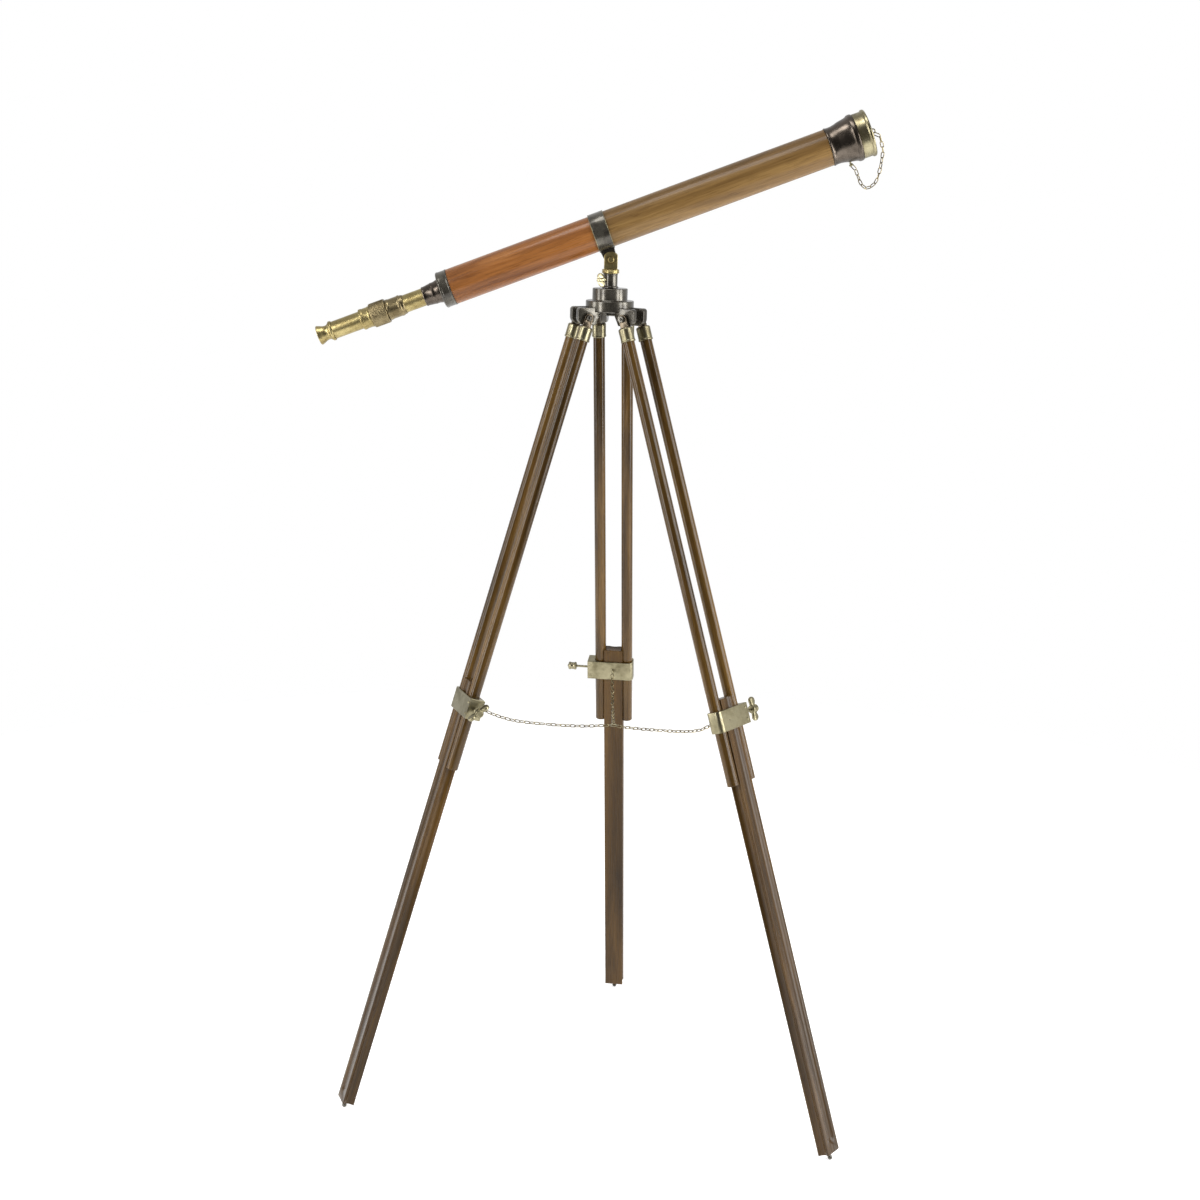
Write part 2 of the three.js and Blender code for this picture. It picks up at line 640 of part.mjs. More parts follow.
function telescope() {
  const group = new THREE.Group();
  const pieces = [
    ['barrel_band', bandWithTongue(), material.black_metal],
    ['joining_sleeve', joiningSleeve(), material.bright_brass],
    ['front_barrel', frontBarrel(), material.front_wood],
    ['rear_barrel', rearBarrel(), material.rear_wood],
    ['front_bell', frontBell(), material.dark_bronze],
    ['objective_lens', objectiveLens(), material.glass],
    ['lens_retaining_ring', lensRing(), material.dark_bronze],
    ['chain_stud', chainStud(), material.antique_brass],
    ['dust_cap', dustCap(), material.pale_brass],
    ['rear_collar', rearCollar(), material.black_metal],
    ['rear_adapter', rearAdapter(), material.dark_bronze],
    ['draw_tube', drawTube(), material.bright_brass],
    ['erector_lens', erectorLens(), material.glass],
    ['focus_body', focusBody(), material.dark_bronze],
    ['focus_ring', focusRing(), material.dark_bronze],
    ['rear_sleeve', rearSleeve(), material.bright_brass],
    ['eyepiece_tube', eyepieceTube(), material.bright_brass],
    ['field_lens', fieldLens(), material.glass],
    ['eyecup', eyecup(), material.bright_brass],
    ['eye_lens', eyeLens(), material.glass],
  ];
  for (const [name, geometry, finish] of pieces) {
    group.add(mesh(name, geometry, finish));
  }
  group.rotation.y = (90 - ELEVATION) * DEG;
  const back = BARREL_RISE * Math.sin(ELEVATION * DEG);
  group.position.set(-back, 0, PIVOT_Z + BARREL_RISE * Math.cos(ELEVATION * DEG));
  return group;
}

// ---- Whole object ----

function wholeObject() {
  const group = new THREE.Group();
  group.position.set(HEAD_X, HEAD_Y, 0);
  group.add(mesh('tripod_head', tripodHead(), material.black_metal));
  group.add(mesh('swivel_socket', swivelSocket(), material.black_metal));
  group.add(mesh('swivel_lock_screw', lockScrew(), material.bright_brass));
  group.add(mesh('swivel_clevis', swivelClevis(), material.bright_brass));
  group.add(mesh('tilt_pin', tiltPin(), material.bright_brass));
  for (const leg of LEGS) {
    group.add(legGroup(leg));
  }
  addChains(group);
  group.add(telescope());
  return group;
}

const object = new THREE.Group();
object.add(wholeObject());

export default object;
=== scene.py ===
"""A wood and brass telescope on a folding floor tripod, dressed for rendering round its CAD frame.

Lengths of pieces are in millimetres and turned into metres as their meshes are made.
"""

import json
import math

import bmesh
import bpy
from mathutils import Matrix, Vector


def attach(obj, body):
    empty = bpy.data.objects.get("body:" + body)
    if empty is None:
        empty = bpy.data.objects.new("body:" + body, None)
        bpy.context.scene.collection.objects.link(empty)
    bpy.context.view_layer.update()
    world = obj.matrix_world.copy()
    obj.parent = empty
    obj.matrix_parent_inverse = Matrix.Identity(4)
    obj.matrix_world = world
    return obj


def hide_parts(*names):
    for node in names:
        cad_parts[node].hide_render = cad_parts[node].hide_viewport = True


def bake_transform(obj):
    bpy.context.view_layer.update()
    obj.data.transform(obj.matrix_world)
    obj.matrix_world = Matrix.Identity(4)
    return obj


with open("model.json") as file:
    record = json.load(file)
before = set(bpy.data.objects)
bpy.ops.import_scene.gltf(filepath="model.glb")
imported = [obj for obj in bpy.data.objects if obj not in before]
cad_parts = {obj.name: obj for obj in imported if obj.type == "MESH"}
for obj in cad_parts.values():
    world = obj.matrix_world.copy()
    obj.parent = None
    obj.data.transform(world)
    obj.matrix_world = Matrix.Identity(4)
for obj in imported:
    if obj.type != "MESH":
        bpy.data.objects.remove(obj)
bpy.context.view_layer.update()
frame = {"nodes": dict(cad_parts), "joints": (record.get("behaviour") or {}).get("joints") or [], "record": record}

MM = 0.001
RUNNING_GAP = 0.3   # between a pin or a turned piece and the hole or seat that it runs in
FACETS = 160        # round the large turned pieces
LEGS = ("back_leg", "left_leg", "right_leg")
JOINTS = {joint["name"]: joint for joint in frame["joints"]}

# ---- Places worked out from the frame ----


def matrix_of(x_axis, y_axis, z_axis, origin):
    """A placement from three axes and an origin."""
    matrix = Matrix((x_axis, y_axis, z_axis)).transposed().to_4x4()
    matrix.translation = origin
    return matrix


def leg_matrix(leg):
    """x outwards, y along the hinge bolt, z up the leg, origin at the hinge."""
    across = Vector(JOINTS[f"{leg}_fold"]["axis"])
    up = -Vector(JOINTS[f"{leg}_extend"]["axis"])
    return matrix_of(across.cross(up), across, up, Vector(JOINTS[f"{leg}_fold"]["pos_m"]))


PIVOT = Vector(JOINTS["tilt"]["pos_m"])
HEAD = Matrix.Translation((PIVOT.x, PIVOT.y, 0))
ALONG = -Vector(JOINTS["draw_slide"]["axis"])
BELOW = Vector((0, 1, 0)).cross(ALONG)
BARREL_RISE = 46.3
BARREL = matrix_of(BELOW, Vector((0, 1, 0)), ALONG, PIVOT - BELOW * BARREL_RISE * MM)
LEG_PLACES = {leg: leg_matrix(leg) for leg in LEGS}

# ---- Camera ----

CAMERA_FROM_AXIS = Vector((-0.018, -2.9544, 1.5358))
CAMERA_YAW = math.radians(0.276)
CAMERA_PITCH = math.radians(-13.18)
CAMERA_ROLL = math.radians(1.44)
CAMERA_LENS = 54.75
SENSOR = 36


def make_camera():
    """A studio camera at about the telescope's height, looking down a little and rolled very slightly."""
    ahead = Vector((
        math.sin(CAMERA_YAW) * math.cos(CAMERA_PITCH),
        math.cos(CAMERA_YAW) * math.cos(CAMERA_PITCH),
        math.sin(CAMERA_PITCH),
    ))
    level_right = Vector((math.cos(CAMERA_YAW), -math.sin(CAMERA_YAW), 0))
    level_up = level_right.cross(ahead)
    right = math.cos(CAMERA_ROLL) * level_right + math.sin(CAMERA_ROLL) * level_up
    up = -math.sin(CAMERA_ROLL) * level_right + math.cos(CAMERA_ROLL) * level_up
    data = bpy.data.cameras.new("camera")
    data.lens = CAMERA_LENS
    data.sensor_width = SENSOR
    camera = bpy.data.objects.new("camera", data)
    camera.matrix_world = matrix_of(right, up, -ahead, HEAD.translation + CAMERA_FROM_AXIS)
    bpy.context.scene.collection.objects.link(camera)
    bpy.context.scene.camera = camera


# ---- Mesh helpers; shapes are drawn in millimetres ----


def arc(centre_a, centre_b, radius, start, end, steps):
    """Points of an arc, with angles in degrees."""
    points = []
    for i in range(steps + 1):
        angle = math.radians(start + (end - start) * i / steps)
        points.append((centre_a + radius * math.cos(angle), centre_b + radius * math.sin(angle)))
    return points


def softened(outline, soft, closed):
    """Rounds the corners of an outline that turn by more than 20 degrees."""
    count = len(outline)
    points = []
    for i, corner in enumerate(outline):
        if not closed and i in (0, count - 1):
            points.append(corner)
            continue
        here = Vector(corner)
        back = Vector(outline[i - 1]) - here
        ahead = Vector(outline[(i + 1) % count]) - here
        if back.length < 1e-6 or ahead.length < 1e-6 or back.angle(-ahead) < math.radians(20):
            points.append(corner)
            continue
        reach = min(soft, 0.45 * back.length, 0.45 * ahead.length)
        first = here + back.normalized() * reach
        last = here + ahead.normalized() * reach
        for step in (0, 0.25, 0.5, 0.75, 1):
            a = first.lerp(here, step)
            b = here.lerp(last, step)
            points.append(tuple(a.lerp(b, step)))
    return points


def lathed(outline, facets=96, soft=0.4):
    """Turns an anticlockwise (radius, height) outline about Z."""
    closed = outline[0][0] > 0 and outline[-1][0] > 0
    points = softened(outline, soft, closed)
    mesh = bmesh.new()
    rings = []
    for radius, height in points:
        if radius < 1e-6:
            rings.append([mesh.verts.new((0, 0, height))] * facets)
            continue
        rings.append([
            mesh.verts.new((
                radius * math.cos(math.tau * i / facets),
                radius * math.sin(math.tau * i / facets),
                height,
            ))
            for i in range(facets)
        ])
    pairs = list(zip(rings, rings[1:] + rings[:1]))
    if not closed:
        pairs = pairs[:-1]
    for lower, upper in pairs:
        for i in range(facets):
            j = (i + 1) % facets
            loop = []
            for vertex in (lower[i], lower[j], upper[j], upper[i]):
                if vertex not in loop:
                    loop.append(vertex)
            if len(loop) > 2:
                mesh.faces.new(loop)
    return mesh


def plate(outline, thick, soft=0.6, holes=(), axis="z", middle=0.0):
    """A plate with rounded edges, drawn in (x, y) and centred on z = middle, or drawn in (x, z) across y."""
    curve = bpy.data.curves.new("outline", "CURVE")
    curve.dimensions = "2D"
    curve.fill_mode = "BOTH"
    curve.extrude = thick / 2 - soft
    curve.bevel_depth = soft
    curve.bevel_resolution = 2
    curve.offset = -soft
    for points in (outline, *holes):
        spline = curve.splines.new("POLY")
        spline.points.add(len(points) - 1)
        for point, (a, b) in zip(spline.points, points):
            point.co = (a, b, 0, 1)
        spline.use_cyclic_u = True
    shape = bpy.data.objects.new("outline", curve)
    made = bpy.data.meshes.new_from_object(shape)
    mesh = bmesh.new()
    mesh.from_mesh(made)
    bmesh.ops.remove_doubles(mesh, verts=mesh.verts, dist=0.002)
    bpy.data.objects.remove(shape)
    bpy.data.curves.remove(curve)
    bpy.data.meshes.remove(made)
    if axis == "y":
        mesh.transform(Matrix.Rotation(math.pi / 2, 4, "X"))
        return shifted(mesh, 0, middle, 0)
    return shifted(mesh, 0, 0, middle)


def shifted(mesh, x, y, z):
    """Moves a mesh, in millimetres."""
    mesh.transform(Matrix.Translation((x, y, z)))
    return mesh


def turned_to(mesh, angle, axis):
    """Turns a mesh by an angle in degrees about one of the main axes."""
    mesh.transform(Matrix.Rotation(math.radians(angle), 4, axis))
    return mesh


def across(mesh):
    """Lays a Z turning along Y."""
    return turned_to(mesh, -90, "X")


def ring(radius, wire, around=48, section=16):
    """A wire ring in the XY plane."""
    outline = arc(radius, 0, wire, 0, 360 - 360 / section, section - 1)
    return lathed(outline, around, 0)


def swept(points, radius, section=10, closed=False):
    """A round wire through points."""
    mesh = bmesh.new()
    path = [Vector(point) for point in points]
    count = len(path)
    rings = []
    side = None
    for i, here in enumerate(path):
        before = path[i - 1] if closed or i > 0 else here
        after = path[(i + 1) % count] if closed or i < count - 1 else here
        tangent = (after - before).normalized()
        if side is None:
            side = tangent.orthogonal().normalized()
        side = (side - tangent * side.dot(tangent)).normalized()
        other = tangent.cross(side)
        rings.append([
            mesh.verts.new(here + radius * (math.cos(math.tau * k / section) * side
                                            + math.sin(math.tau * k / section) * other))
            for k in range(section)
        ])
    pairs = list(zip(rings, rings[1:] + rings[:1]))
    if not closed:
        pairs = pairs[:-1]
        mesh.faces.new(list(reversed(rings[0])))
        mesh.faces.new(rings[-1])
    for lower, upper in pairs:
        for k in range(section):
            n = (k + 1) % section
            mesh.faces.new((lower[k], lower[n], upper[n], upper[k]))
    return mesh


def object_from(name, meshes, place=Matrix.Identity(4), sharp=38):
    """One smooth-shaded object from meshes in millimetres, with edges sharper than the angle kept."""
    whole = bmesh.new()
    scratch = bpy.data.meshes.new("scratch")
    for mesh in meshes:
        mesh.to_mesh(scratch)
        whole.from_mesh(scratch)
        mesh.free()
    bpy.data.meshes.remove(scratch)
    whole.transform(Matrix.Scale(MM, 4))
    bmesh.ops.recalc_face_normals(whole, faces=whole.faces)
    for face in whole.faces:
        face.smooth = True
    for edge in whole.edges:
        edge.smooth = len(edge.link_faces) == 2 and edge.calc_face_angle(0) < math.radians(sharp)
    data = bpy.data.meshes.new(name)
    whole.to_mesh(data)
    whole.free()
    made = bpy.data.objects.new(name, data)
    bpy.context.scene.collection.objects.link(made)
    made.matrix_world = place
    return made


def cut_from(target, cutter):
    """Cuts one object out of another and removes the cutter."""
    modifier = target.modifiers.new("cut", "BOOLEAN")
    modifier.operation = "DIFFERENCE"
    modifier.solver = "EXACT"
    modifier.object = cutter
    bpy.context.view_layer.update()
    evaluated = target.evaluated_get(bpy.context.evaluated_depsgraph_get())
    made = bpy.data.meshes.new_from_object(evaluated)
    target.modifiers.clear()
    target.data = made
    bpy.data.objects.remove(cutter)
    sharpen(target)


def sharpen(target, sharp=38):
    """Shades an object smooth except at its sharp edges."""
    mesh = bmesh.new()
    mesh.from_mesh(target.data)
    for face in mesh.faces:
        face.smooth = True
    for edge in mesh.edges:
        edge.smooth = len(edge.link_faces) == 2 and edge.calc_face_angle(0) < math.radians(sharp)
    mesh.to_mesh(target.data)
    mesh.free()


# ---- Materials ----


def colour(red, green, blue):
    """A display colour, 0 to 255, as linear light."""
    def linear(value):
        value /= 255
        return value / 12.92 if value <= 0.04045 else ((value + 0.055) / 1.055) ** 2.4
    return (linear(red), linear(green), linear(blue), 1)


class Finish:
    """A Principled material and the nodes that feed it."""

    def __init__(self, name, **sockets):
        self.material = bpy.data.materials.new(name)
        self.material.use_nodes = True
        self.tree = self.material.node_tree
        self.shader = self.tree.nodes["Principled BSDF"]
        for socket, value in sockets.items():
            self.shader.inputs[socket.replace("_", " ")].default_value = value
        coordinates = self.tree.nodes.new("ShaderNodeTexCoord")
        self.place = coordinates.outputs["Object"]

    def link(self, output, node, socket):
        self.tree.links.new(output, node.inputs[socket])

    def noise(self, scale, stretch=(1, 1, 1), detail=4.0, rough=0.55, distortion=0.0):
        """Noise in object space; scale is in cycles per metre."""
        mapping = self.tree.nodes.new("ShaderNodeMapping")
        mapping.inputs["Scale"].default_value = stretch
        self.link(self.place, mapping, "Vector")
        node = self.tree.nodes.new("ShaderNodeTexNoise")
        node.inputs["Scale"].default_value = scale
        node.inputs["Detail"].default_value = detail
        node.inputs["Roughness"].default_value = rough
        node.inputs["Distortion"].default_value = distortion
        self.link(mapping.outputs["Vector"], node, "Vector")
        return node.outputs["Fac"]

    def ramp(self, value, *stops):
        """Colours along a value, as (position, colour) stops."""
        node = self.tree.nodes.new("ShaderNodeValToRGB")
        while len(node.color_ramp.elements) < len(stops):
            node.color_ramp.elements.new(0.5)
        for element, (position, shade) in zip(node.color_ramp.elements, stops):
            element.position = position
            element.color = shade
        self.link(value, node, "Fac")
        return node.outputs["Color"]

    def mixed(self, factor, first, second, blend="MIX"):
        """Mixes two colours; factor is a number or an output."""
        node = self.tree.nodes.new("ShaderNodeMix")
        node.data_type = "RGBA"
        node.blend_type = blend
        if isinstance(factor, float):
            node.inputs[0].default_value = factor
        else:
            self.tree.links.new(factor, node.inputs[0])
        for socket, value in ((6, first), (7, second)):
            if isinstance(value, tuple):
                node.inputs[socket].default_value = value
            else:
                self.tree.links.new(value, node.inputs[socket])
        return node.outputs[2]

    def spread(self, value, low, high, start=0.3, end=0.7):
        """Maps a value's middle stretch to low..high."""
        node = self.tree.nodes.new("ShaderNodeMapRange")
        node.inputs["From Min"].default_value = start
        node.inputs["From Max"].default_value = end
        node.inputs["To Min"].default_value = low
        node.inputs["To Max"].default_value = high
        self.link(value, node, "Value")
        return node.outputs["Result"]

    def base(self, output):
        self.link(output, self.shader, "Base Color")

    def roughness(self, output):
        self.link(output, self.shader, "Roughness")

    def bump(self, value, strength, distance):
        node = self.tree.nodes.new("ShaderNodeBump")
        node.inputs["Strength"].default_value = strength
        node.inputs["Distance"].default_value = distance
        self.link(value, node, "Height")
        self.link(node.outputs["Normal"], self.shader, "Normal")


def wood(name, dark, middle, light, roughness, coat):
    """Lacquered wood with grain along the object's Z."""
    finish = Finish(name, Coat_Weight=coat, Coat_Roughness=0.12, Specular_IOR_Level=0.2)
    figure = finish.noise(34, (1, 1, 0.07), 5, 0.6, 0.6)
    fibres = finish.noise(420, (1, 1, 0.025), 4, 0.65)
    pores = finish.noise(1000, (1, 1, 0.03), 2, 0.5)
    body = finish.ramp(figure, (0.3, dark), (0.5, middle), (0.7, light))
    streaks = finish.ramp(fibres, (0.34, (0.5, 0.44, 0.38, 1)), (0.6, (1, 1, 1, 1)))
    shade = finish.mixed(0.5, body, streaks, "MULTIPLY")
    pits = finish.ramp(pores, (0.36, (0.3, 0.24, 0.2, 1)), (0.43, (1, 1, 1, 1)))
    finish.base(finish.mixed(0.45, shade, pits, "MULTIPLY"))
    finish.roughness(finish.spread(fibres, roughness + 0.08, roughness - 0.05))
    finish.bump(fibres, 0.1, 0.0002)
    return finish.material


LINE_SHARE = 0.25
SPECK_SHARE = 0.15


def metal(name, clean, tarnished, roughness, cover=(0.4, 0.7), metallic=1.0, coat=0.0):
    """Metal with soft tarnish, fine polishing lines, dark specks and a slightly uneven skin."""
    finish = Finish(name, Metallic=metallic, Coat_Weight=coat, Coat_Roughness=0.06)
    patches = finish.noise(45, (1, 1, 1), 5, 0.6, 0.2)
    lines = finish.noise(260, (0.12, 0.12, 6), 3, 0.6)
    specks = finish.noise(900, (1, 1, 1), 3, 0.6)
    patina = finish.ramp(patches, (cover[0], clean), (cover[1], tarnished))
    dark_lines = finish.ramp(lines, (0.36, (0.62, 0.6, 0.56, 1)), (0.6, (1, 1, 1, 1)))
    dark_specks = finish.ramp(specks, (0.3, (0.25, 0.23, 0.2, 1)), (0.4, (1, 1, 1, 1)))
    worked = finish.mixed(LINE_SHARE, patina, dark_lines, "MULTIPLY")
    finish.base(finish.mixed(SPECK_SHARE, worked, dark_specks, "MULTIPLY"))
    finish.roughness(finish.spread(patches, roughness - 0.05, roughness + 0.08))
    finish.bump(patches, 0.05, 0.0004)
    return finish.material


def glass():
    finish = Finish("glass", Transmission_Weight=1.0, Roughness=0.02, IOR=1.5)
    finish.shader.inputs["Base Color"].default_value = (0.92, 0.96, 0.97, 1)
    return finish.material


MATERIALS = {
    "rod_wood": wood("rod_wood", colour(46, 32, 12), colour(82, 60, 26), colour(114, 86, 43), 0.2, 0.24),
    "bar_wood": wood("bar_wood", colour(42, 29, 11), colour(74, 53, 23), colour(104, 77, 39), 0.26, 0.08),
    "front_wood": wood("front_wood", colour(88, 65, 33), colour(118, 90, 51), colour(140, 111, 67),
                       0.32, 0.12),
    "rear_wood": wood("rear_wood", colour(104, 61, 28), colour(142, 91, 47), colour(166, 112, 62), 0.28, 0.2),
    "antique_brass": metal("antique_brass", colour(154, 147, 120), colour(112, 105, 80), 0.32),
    "bright_brass": metal("bright_brass", colour(182, 167, 118), colour(134, 117, 74), 0.34),
    "pale_brass": metal("pale_brass", colour(164, 156, 126), colour(112, 102, 76), 0.3),
    "worn_brass": metal("worn_brass", colour(210, 202, 166), colour(170, 160, 122), 0.36),
    "aged_brass": metal("aged_brass", colour(150, 136, 103), colour(110, 97, 70), 0.32),
    "chain_brass": metal("chain_brass", colour(154, 142, 110), colour(92, 80, 56), 0.24),
    "dark_bronze": metal("dark_bronze", colour(104, 94, 80), colour(74, 66, 54), 0.26),
    "bell_bronze": metal("bell_bronze", colour(106, 97, 88), colour(72, 65, 58), 0.25),
    "black_metal": metal("black_metal", colour(98, 94, 84), colour(64, 60, 53), 0.26, (0.4, 0.6), 0.7, 0.4),
    "glass": glass(),
}
SLOT_OF = {row["node"]: row["material_slot"] for row in frame["record"]["subparts"]}


def dress(made, body, nodes, slot=None, look=None):
    """Gives a finished piece its material and body, and hides the CAD nodes that it stands for."""
    slot = slot or SLOT_OF[nodes[0]]
    made.data.materials.clear()
    made.data.materials.append(MATERIALS[look or slot])
    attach(made, body)
    if nodes:
        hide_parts(*nodes)
    return made


# ---- Chains: the routes are points from the swivel axis, in millimetres ----

LINK_LENGTH = 10.8
LINK_WIDTH = 6.2
LINK_WIRE = 0.75
LINK_PITCH = 8.4
CHAIN_ROUTES = {
    "back_leg": {
        "outer": [(21.9, 157.9, 673.9), (22.1, 150.2, 665), (22.5, 130.5, 651), (22.8, 109, 641.3),
                  (23.1, 85, 635)],
        "inner": [(23.1, 84.2, 634.8), (23.4, 60, 630.5), (23.7, 35, 628.8), (23.9, 12, 630),
                  (23.9, -7.3, 632.2)],
    },
    "left_leg": {
        "outer": [(-198.8, -80.9, 680.9), (-191, -78.8, 673), (-172, -73, 662.5), (-146, -65.4, 652.5),
                  (-118, -57, 646), (-90, -48.9, 641.4)],
        "inner": [(-89.2, -48.6, 641.3), (-62, -40.6, 637.4), (-34, -32.3, 634.3), (-8, -24.5, 632.8),
                  (16.7, -17.2, 632.2)],
    },
    "right_leg": {
        "outer": [(185.9, -144.6, 683.5), (178.7, -138.7, 674.2), (164.3, -127.2, 662.2),
                  (146, -112.6, 654.4), (124, -94.9, 648.4), (105, -79.7, 644.5)],
        "inner": [(104.4, -79.2, 644.4), (82, -61.3, 639.9), (62, -45.3, 636.3), (45, -31.7, 633.6),
                  (30, -19.8, 632.2)],
    },
}
CAP_CHAIN_ROUTE = [(416.8, 0, 1602.5), (421, 0, 1589), (423, 0, 1580), (422, 0, 1566), (420, 0, 1551),
                   (416, 0, 1535), (409, 0, 1526), (400, 0, 1522.5), (392, 0, 1528), (386, 0, 1540),
                   (381.5, 0, 1550.5)]
FIRST_LINK_TURN = 40                      # degrees; each next link is turned by 90 more
LINK_SIDE = Vector((0.15, 0.1, 1))        # never along a chain, so it gives each link a side
TANGENT_REACH = 3                         # each way along the route, for a link's direction
CAP_LOOP_S = 453.4                        # the cap's loop, along the telescope
CAP_LOOP_R = 3.4
CAP_LOOP_WIRE = 1.0
STUD_S = 405                              # the chain stud, along the telescope
STUD_FOOT = 33.2                          # its foot and its neck, out from the telescope's axis
STUD_NECK = 36
JOINT_BEND = 2.2                          # the joining link's round ends
JOINT_INSET = 1.6
RING_CENTRE = Vector((24, -15, 632))
RING_R = 6
RING_WIRE = 0.9


def smooth_route(points, step=1.0):
    """A Catmull-Rom curve through points, as closely spaced points."""
    path = [Vector(point) for point in points]
    path = [2 * path[0] - path[1], *path, 2 * path[-1] - path[-2]]
    fine = []
    for before, start, end, after in zip(path, path[1:], path[2:], path[3:]):
        count = max(2, round((end - start).length / step))
        for i in range(count):
            t = i / count
            square = 2 * before - 5 * start + 4 * end - after
            cube = 3 * start - before - 3 * end + after
            fine.append(0.5 * (2 * start + (end - before) * t + square * t * t + cube * t ** 3))
    fine.append(path[-2])
    return fine


def along_route(fine, distance):
    """The point at a distance along a fine route."""
    for start, end in zip(fine, fine[1:]):
        length = (end - start).length
        if distance <= length:
            return start.lerp(end, distance / length)
        distance -= length
    return fine[-1]


def chain_link():
    """One oval link, long in X and flat in XY."""
    half = LINK_LENGTH / 2 - LINK_WIDTH / 2
    bend = LINK_WIDTH / 2 - LINK_WIRE
    line = arc(half, 0, bend, -90, 90, 8) + arc(-half, 0, bend, 90, 270, 8)
    return swept([(a, b, 0) for a, b in line], LINK_WIRE, 8, closed=True)


def chain_meshes(route, first_turn=0):
    """Interlocking links along a route."""
    fine = smooth_route(route)
    total = sum((b - a).length for a, b in zip(fine, fine[1:]))
    count = max(3, round((total - LINK_LENGTH) / LINK_PITCH) + 1)
    pitch = (total - LINK_LENGTH) / (count - 1)
    links = []
    for i in range(count):
        middle = LINK_LENGTH / 2 + i * pitch
        here = along_route(fine, middle)
        ahead = along_route(fine, middle + TANGENT_REACH)
        behind = along_route(fine, middle - TANGENT_REACH)
        tangent = (ahead - behind).normalized()
        side = tangent.cross(LINK_SIDE).normalized()
        turn = math.radians(FIRST_LINK_TURN + 90 * ((i + first_turn) % 2))
        side = Matrix.Rotation(turn, 3, tangent) @ side
        link = chain_link()
        link.transform(matrix_of(tangent, side, tangent.cross(side), here))
        links.append(link)
    return links, fine, total


def make_cord(name, route, nodes, first_turn):
    """A chain of links in one object, which hides the CAD nodes that it stands for."""
    links, fine, total = chain_meshes(route, first_turn)
    made = object_from(name, links, HEAD)
    made.data.materials.append(MATERIALS["chain_brass"])
    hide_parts(*nodes)
    return made


def leg_chains():
    """Two half chains to each leg, meeting near its middle, and the ring that all three chains share."""
    for leg in LEGS:
        route = CHAIN_ROUTES[leg]
        outer = make_cord(f"{leg}_chain_from_clamp", route["outer"], [f"{leg}_chain_outer"], 0)
        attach(outer, f"{leg}_chain_out")
        inner = make_cord(f"{leg}_chain_to_ring", route["inner"], [f"{leg}_chain_inner"], 1)
        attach(inner, f"{leg}_chain_in")
    place = HEAD @ Matrix.Translation(RING_CENTRE * MM)
    dress(object_from("middle_ring", [ring(RING_R, RING_WIRE)], place), "head", ["spreader_ring"])


def cap_chain():
    """The safety chain from the cap's loop to the stud, with a joining link at each end."""
    made = make_cord("cap_safety_chain", CAP_CHAIN_ROUTE, ["cap_chain"], 0)
    stud_end = HEAD @ (Vector(CAP_CHAIN_ROUTE[-1]) * MM)
    cap_end = HEAD @ (Vector(CAP_CHAIN_ROUTE[0]) * MM)
    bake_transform(made)
    along = BARREL.to_3x3() @ Vector((0, 0, 1))
    below = BARREL.to_3x3() @ Vector((1, 0, 0))
    loop = BARREL.translation + along * CAP_LOOP_S * MM + below * CAP_LOOP_R * MM
    neck = BARREL.translation + along * STUD_S * MM + below * STUD_NECK * MM
    for name, start, end, body in (("cap", loop, cap_end, "cap"), ("stud", neck, stud_end, "barrel")):
        dress(joining_link(f"{name}_chain_joint", start, end), body, [], "antique_brass", "chain_brass")


def joining_link(name, start, end):
    """A split ring that joins a chain's end link to its anchor."""
    reach = (end - start) / MM
    tangent = reach.normalized()
    half = max(reach.length / 2 - JOINT_INSET, 0.1)
    line = arc(half, 0, JOINT_BEND, -90, 90, 8) + arc(-half, 0, JOINT_BEND, 90, 270, 8)
    link = swept([(a, b, 0) for a, b in line], LINK_WIRE, 8, closed=True)
    side = tangent.cross(Vector((0, 1, 0.4))).normalized()
    link.transform(matrix_of(tangent, side, tangent.cross(side), reach / 2))
    return object_from(name, [link], Matrix.Translation(start))


# ---- Legs ----

BOLT_R = 2.5
BOLT_HEAD_R = 5
BOLT_HEAD_FLATTENED = 0.72
BOLT_END = 6.5      # the shank's end, past the tongues
NUT_R = 5.4
NUT_THICK = 4.5
ROD_R = 9.6
ROD_OFFSET = 23.3
ROD_TOP = 15
ROD_END = {"back_leg": 748, "left_leg": 760, "right_leg": 760}
CLAMP_AT = {"back_leg": 647, "left_leg": 652, "right_leg": 655.5}
BAR_TOP = {"back_leg": 608, "left_leg": 615, "right_leg": 621}
FERRULE_R = 11.75
FERRULE_FIT = 0.15  # between a rod and its ferrule
FERRULE_TOP = 14
FERRULE_END = 37
TONGUE_THICK = 5.8
TONGUE_R = 7
BAR_WIDTH = 33.4
BAR_THICK = 19.8
BAR_FOOT_GAP = 12
BAR_ROUND = 1.5
FLUTE_R = 10
GROOVE_WIDTH = 18
GROOVE_DEEP = 2.2
GROOVE_STOP = 16
GROOVE_PAST_TOP = 4
CLAMP_TALL = 34
CLAMP_HALF = 13
CLAMP_LEFT = -35
CLAMP_RIGHT = 45.5
CLAMP_BORE = 10.1
CLAMP_CORNER = 8
EYELET_R = 4
EYELET_WIRE = 1.2
RIVET_GAP = 9.5
RIVET_IN = 6        # from the strap's square end
RIVET_OUTLINE = [(0, -1.2), (1.4, -1.2), (2.4, -0.3), (2.4, 0.5), (0, 0.5)]
SCREW_R = 2
CLAMP_HUB = {"length": 14, "radius": 7, "span": 20, "ear": 7, "thick": 6}
HUB_AT = {"back_leg": 67, "left_leg": 56, "right_leg": 71}
WING_TURN = {"back_leg": 27, "left_leg": 50, "right_leg": 90}
FOOT_FLAT = 3.6
FOOT_BALL_R = 4
FOOT_PIN_R = 3.2


def leg_length(leg):
    """Hinge to floor, down the leg."""
    place = LEG_PLACES[leg]
    return place.translation.z / place.col[2].z / MM


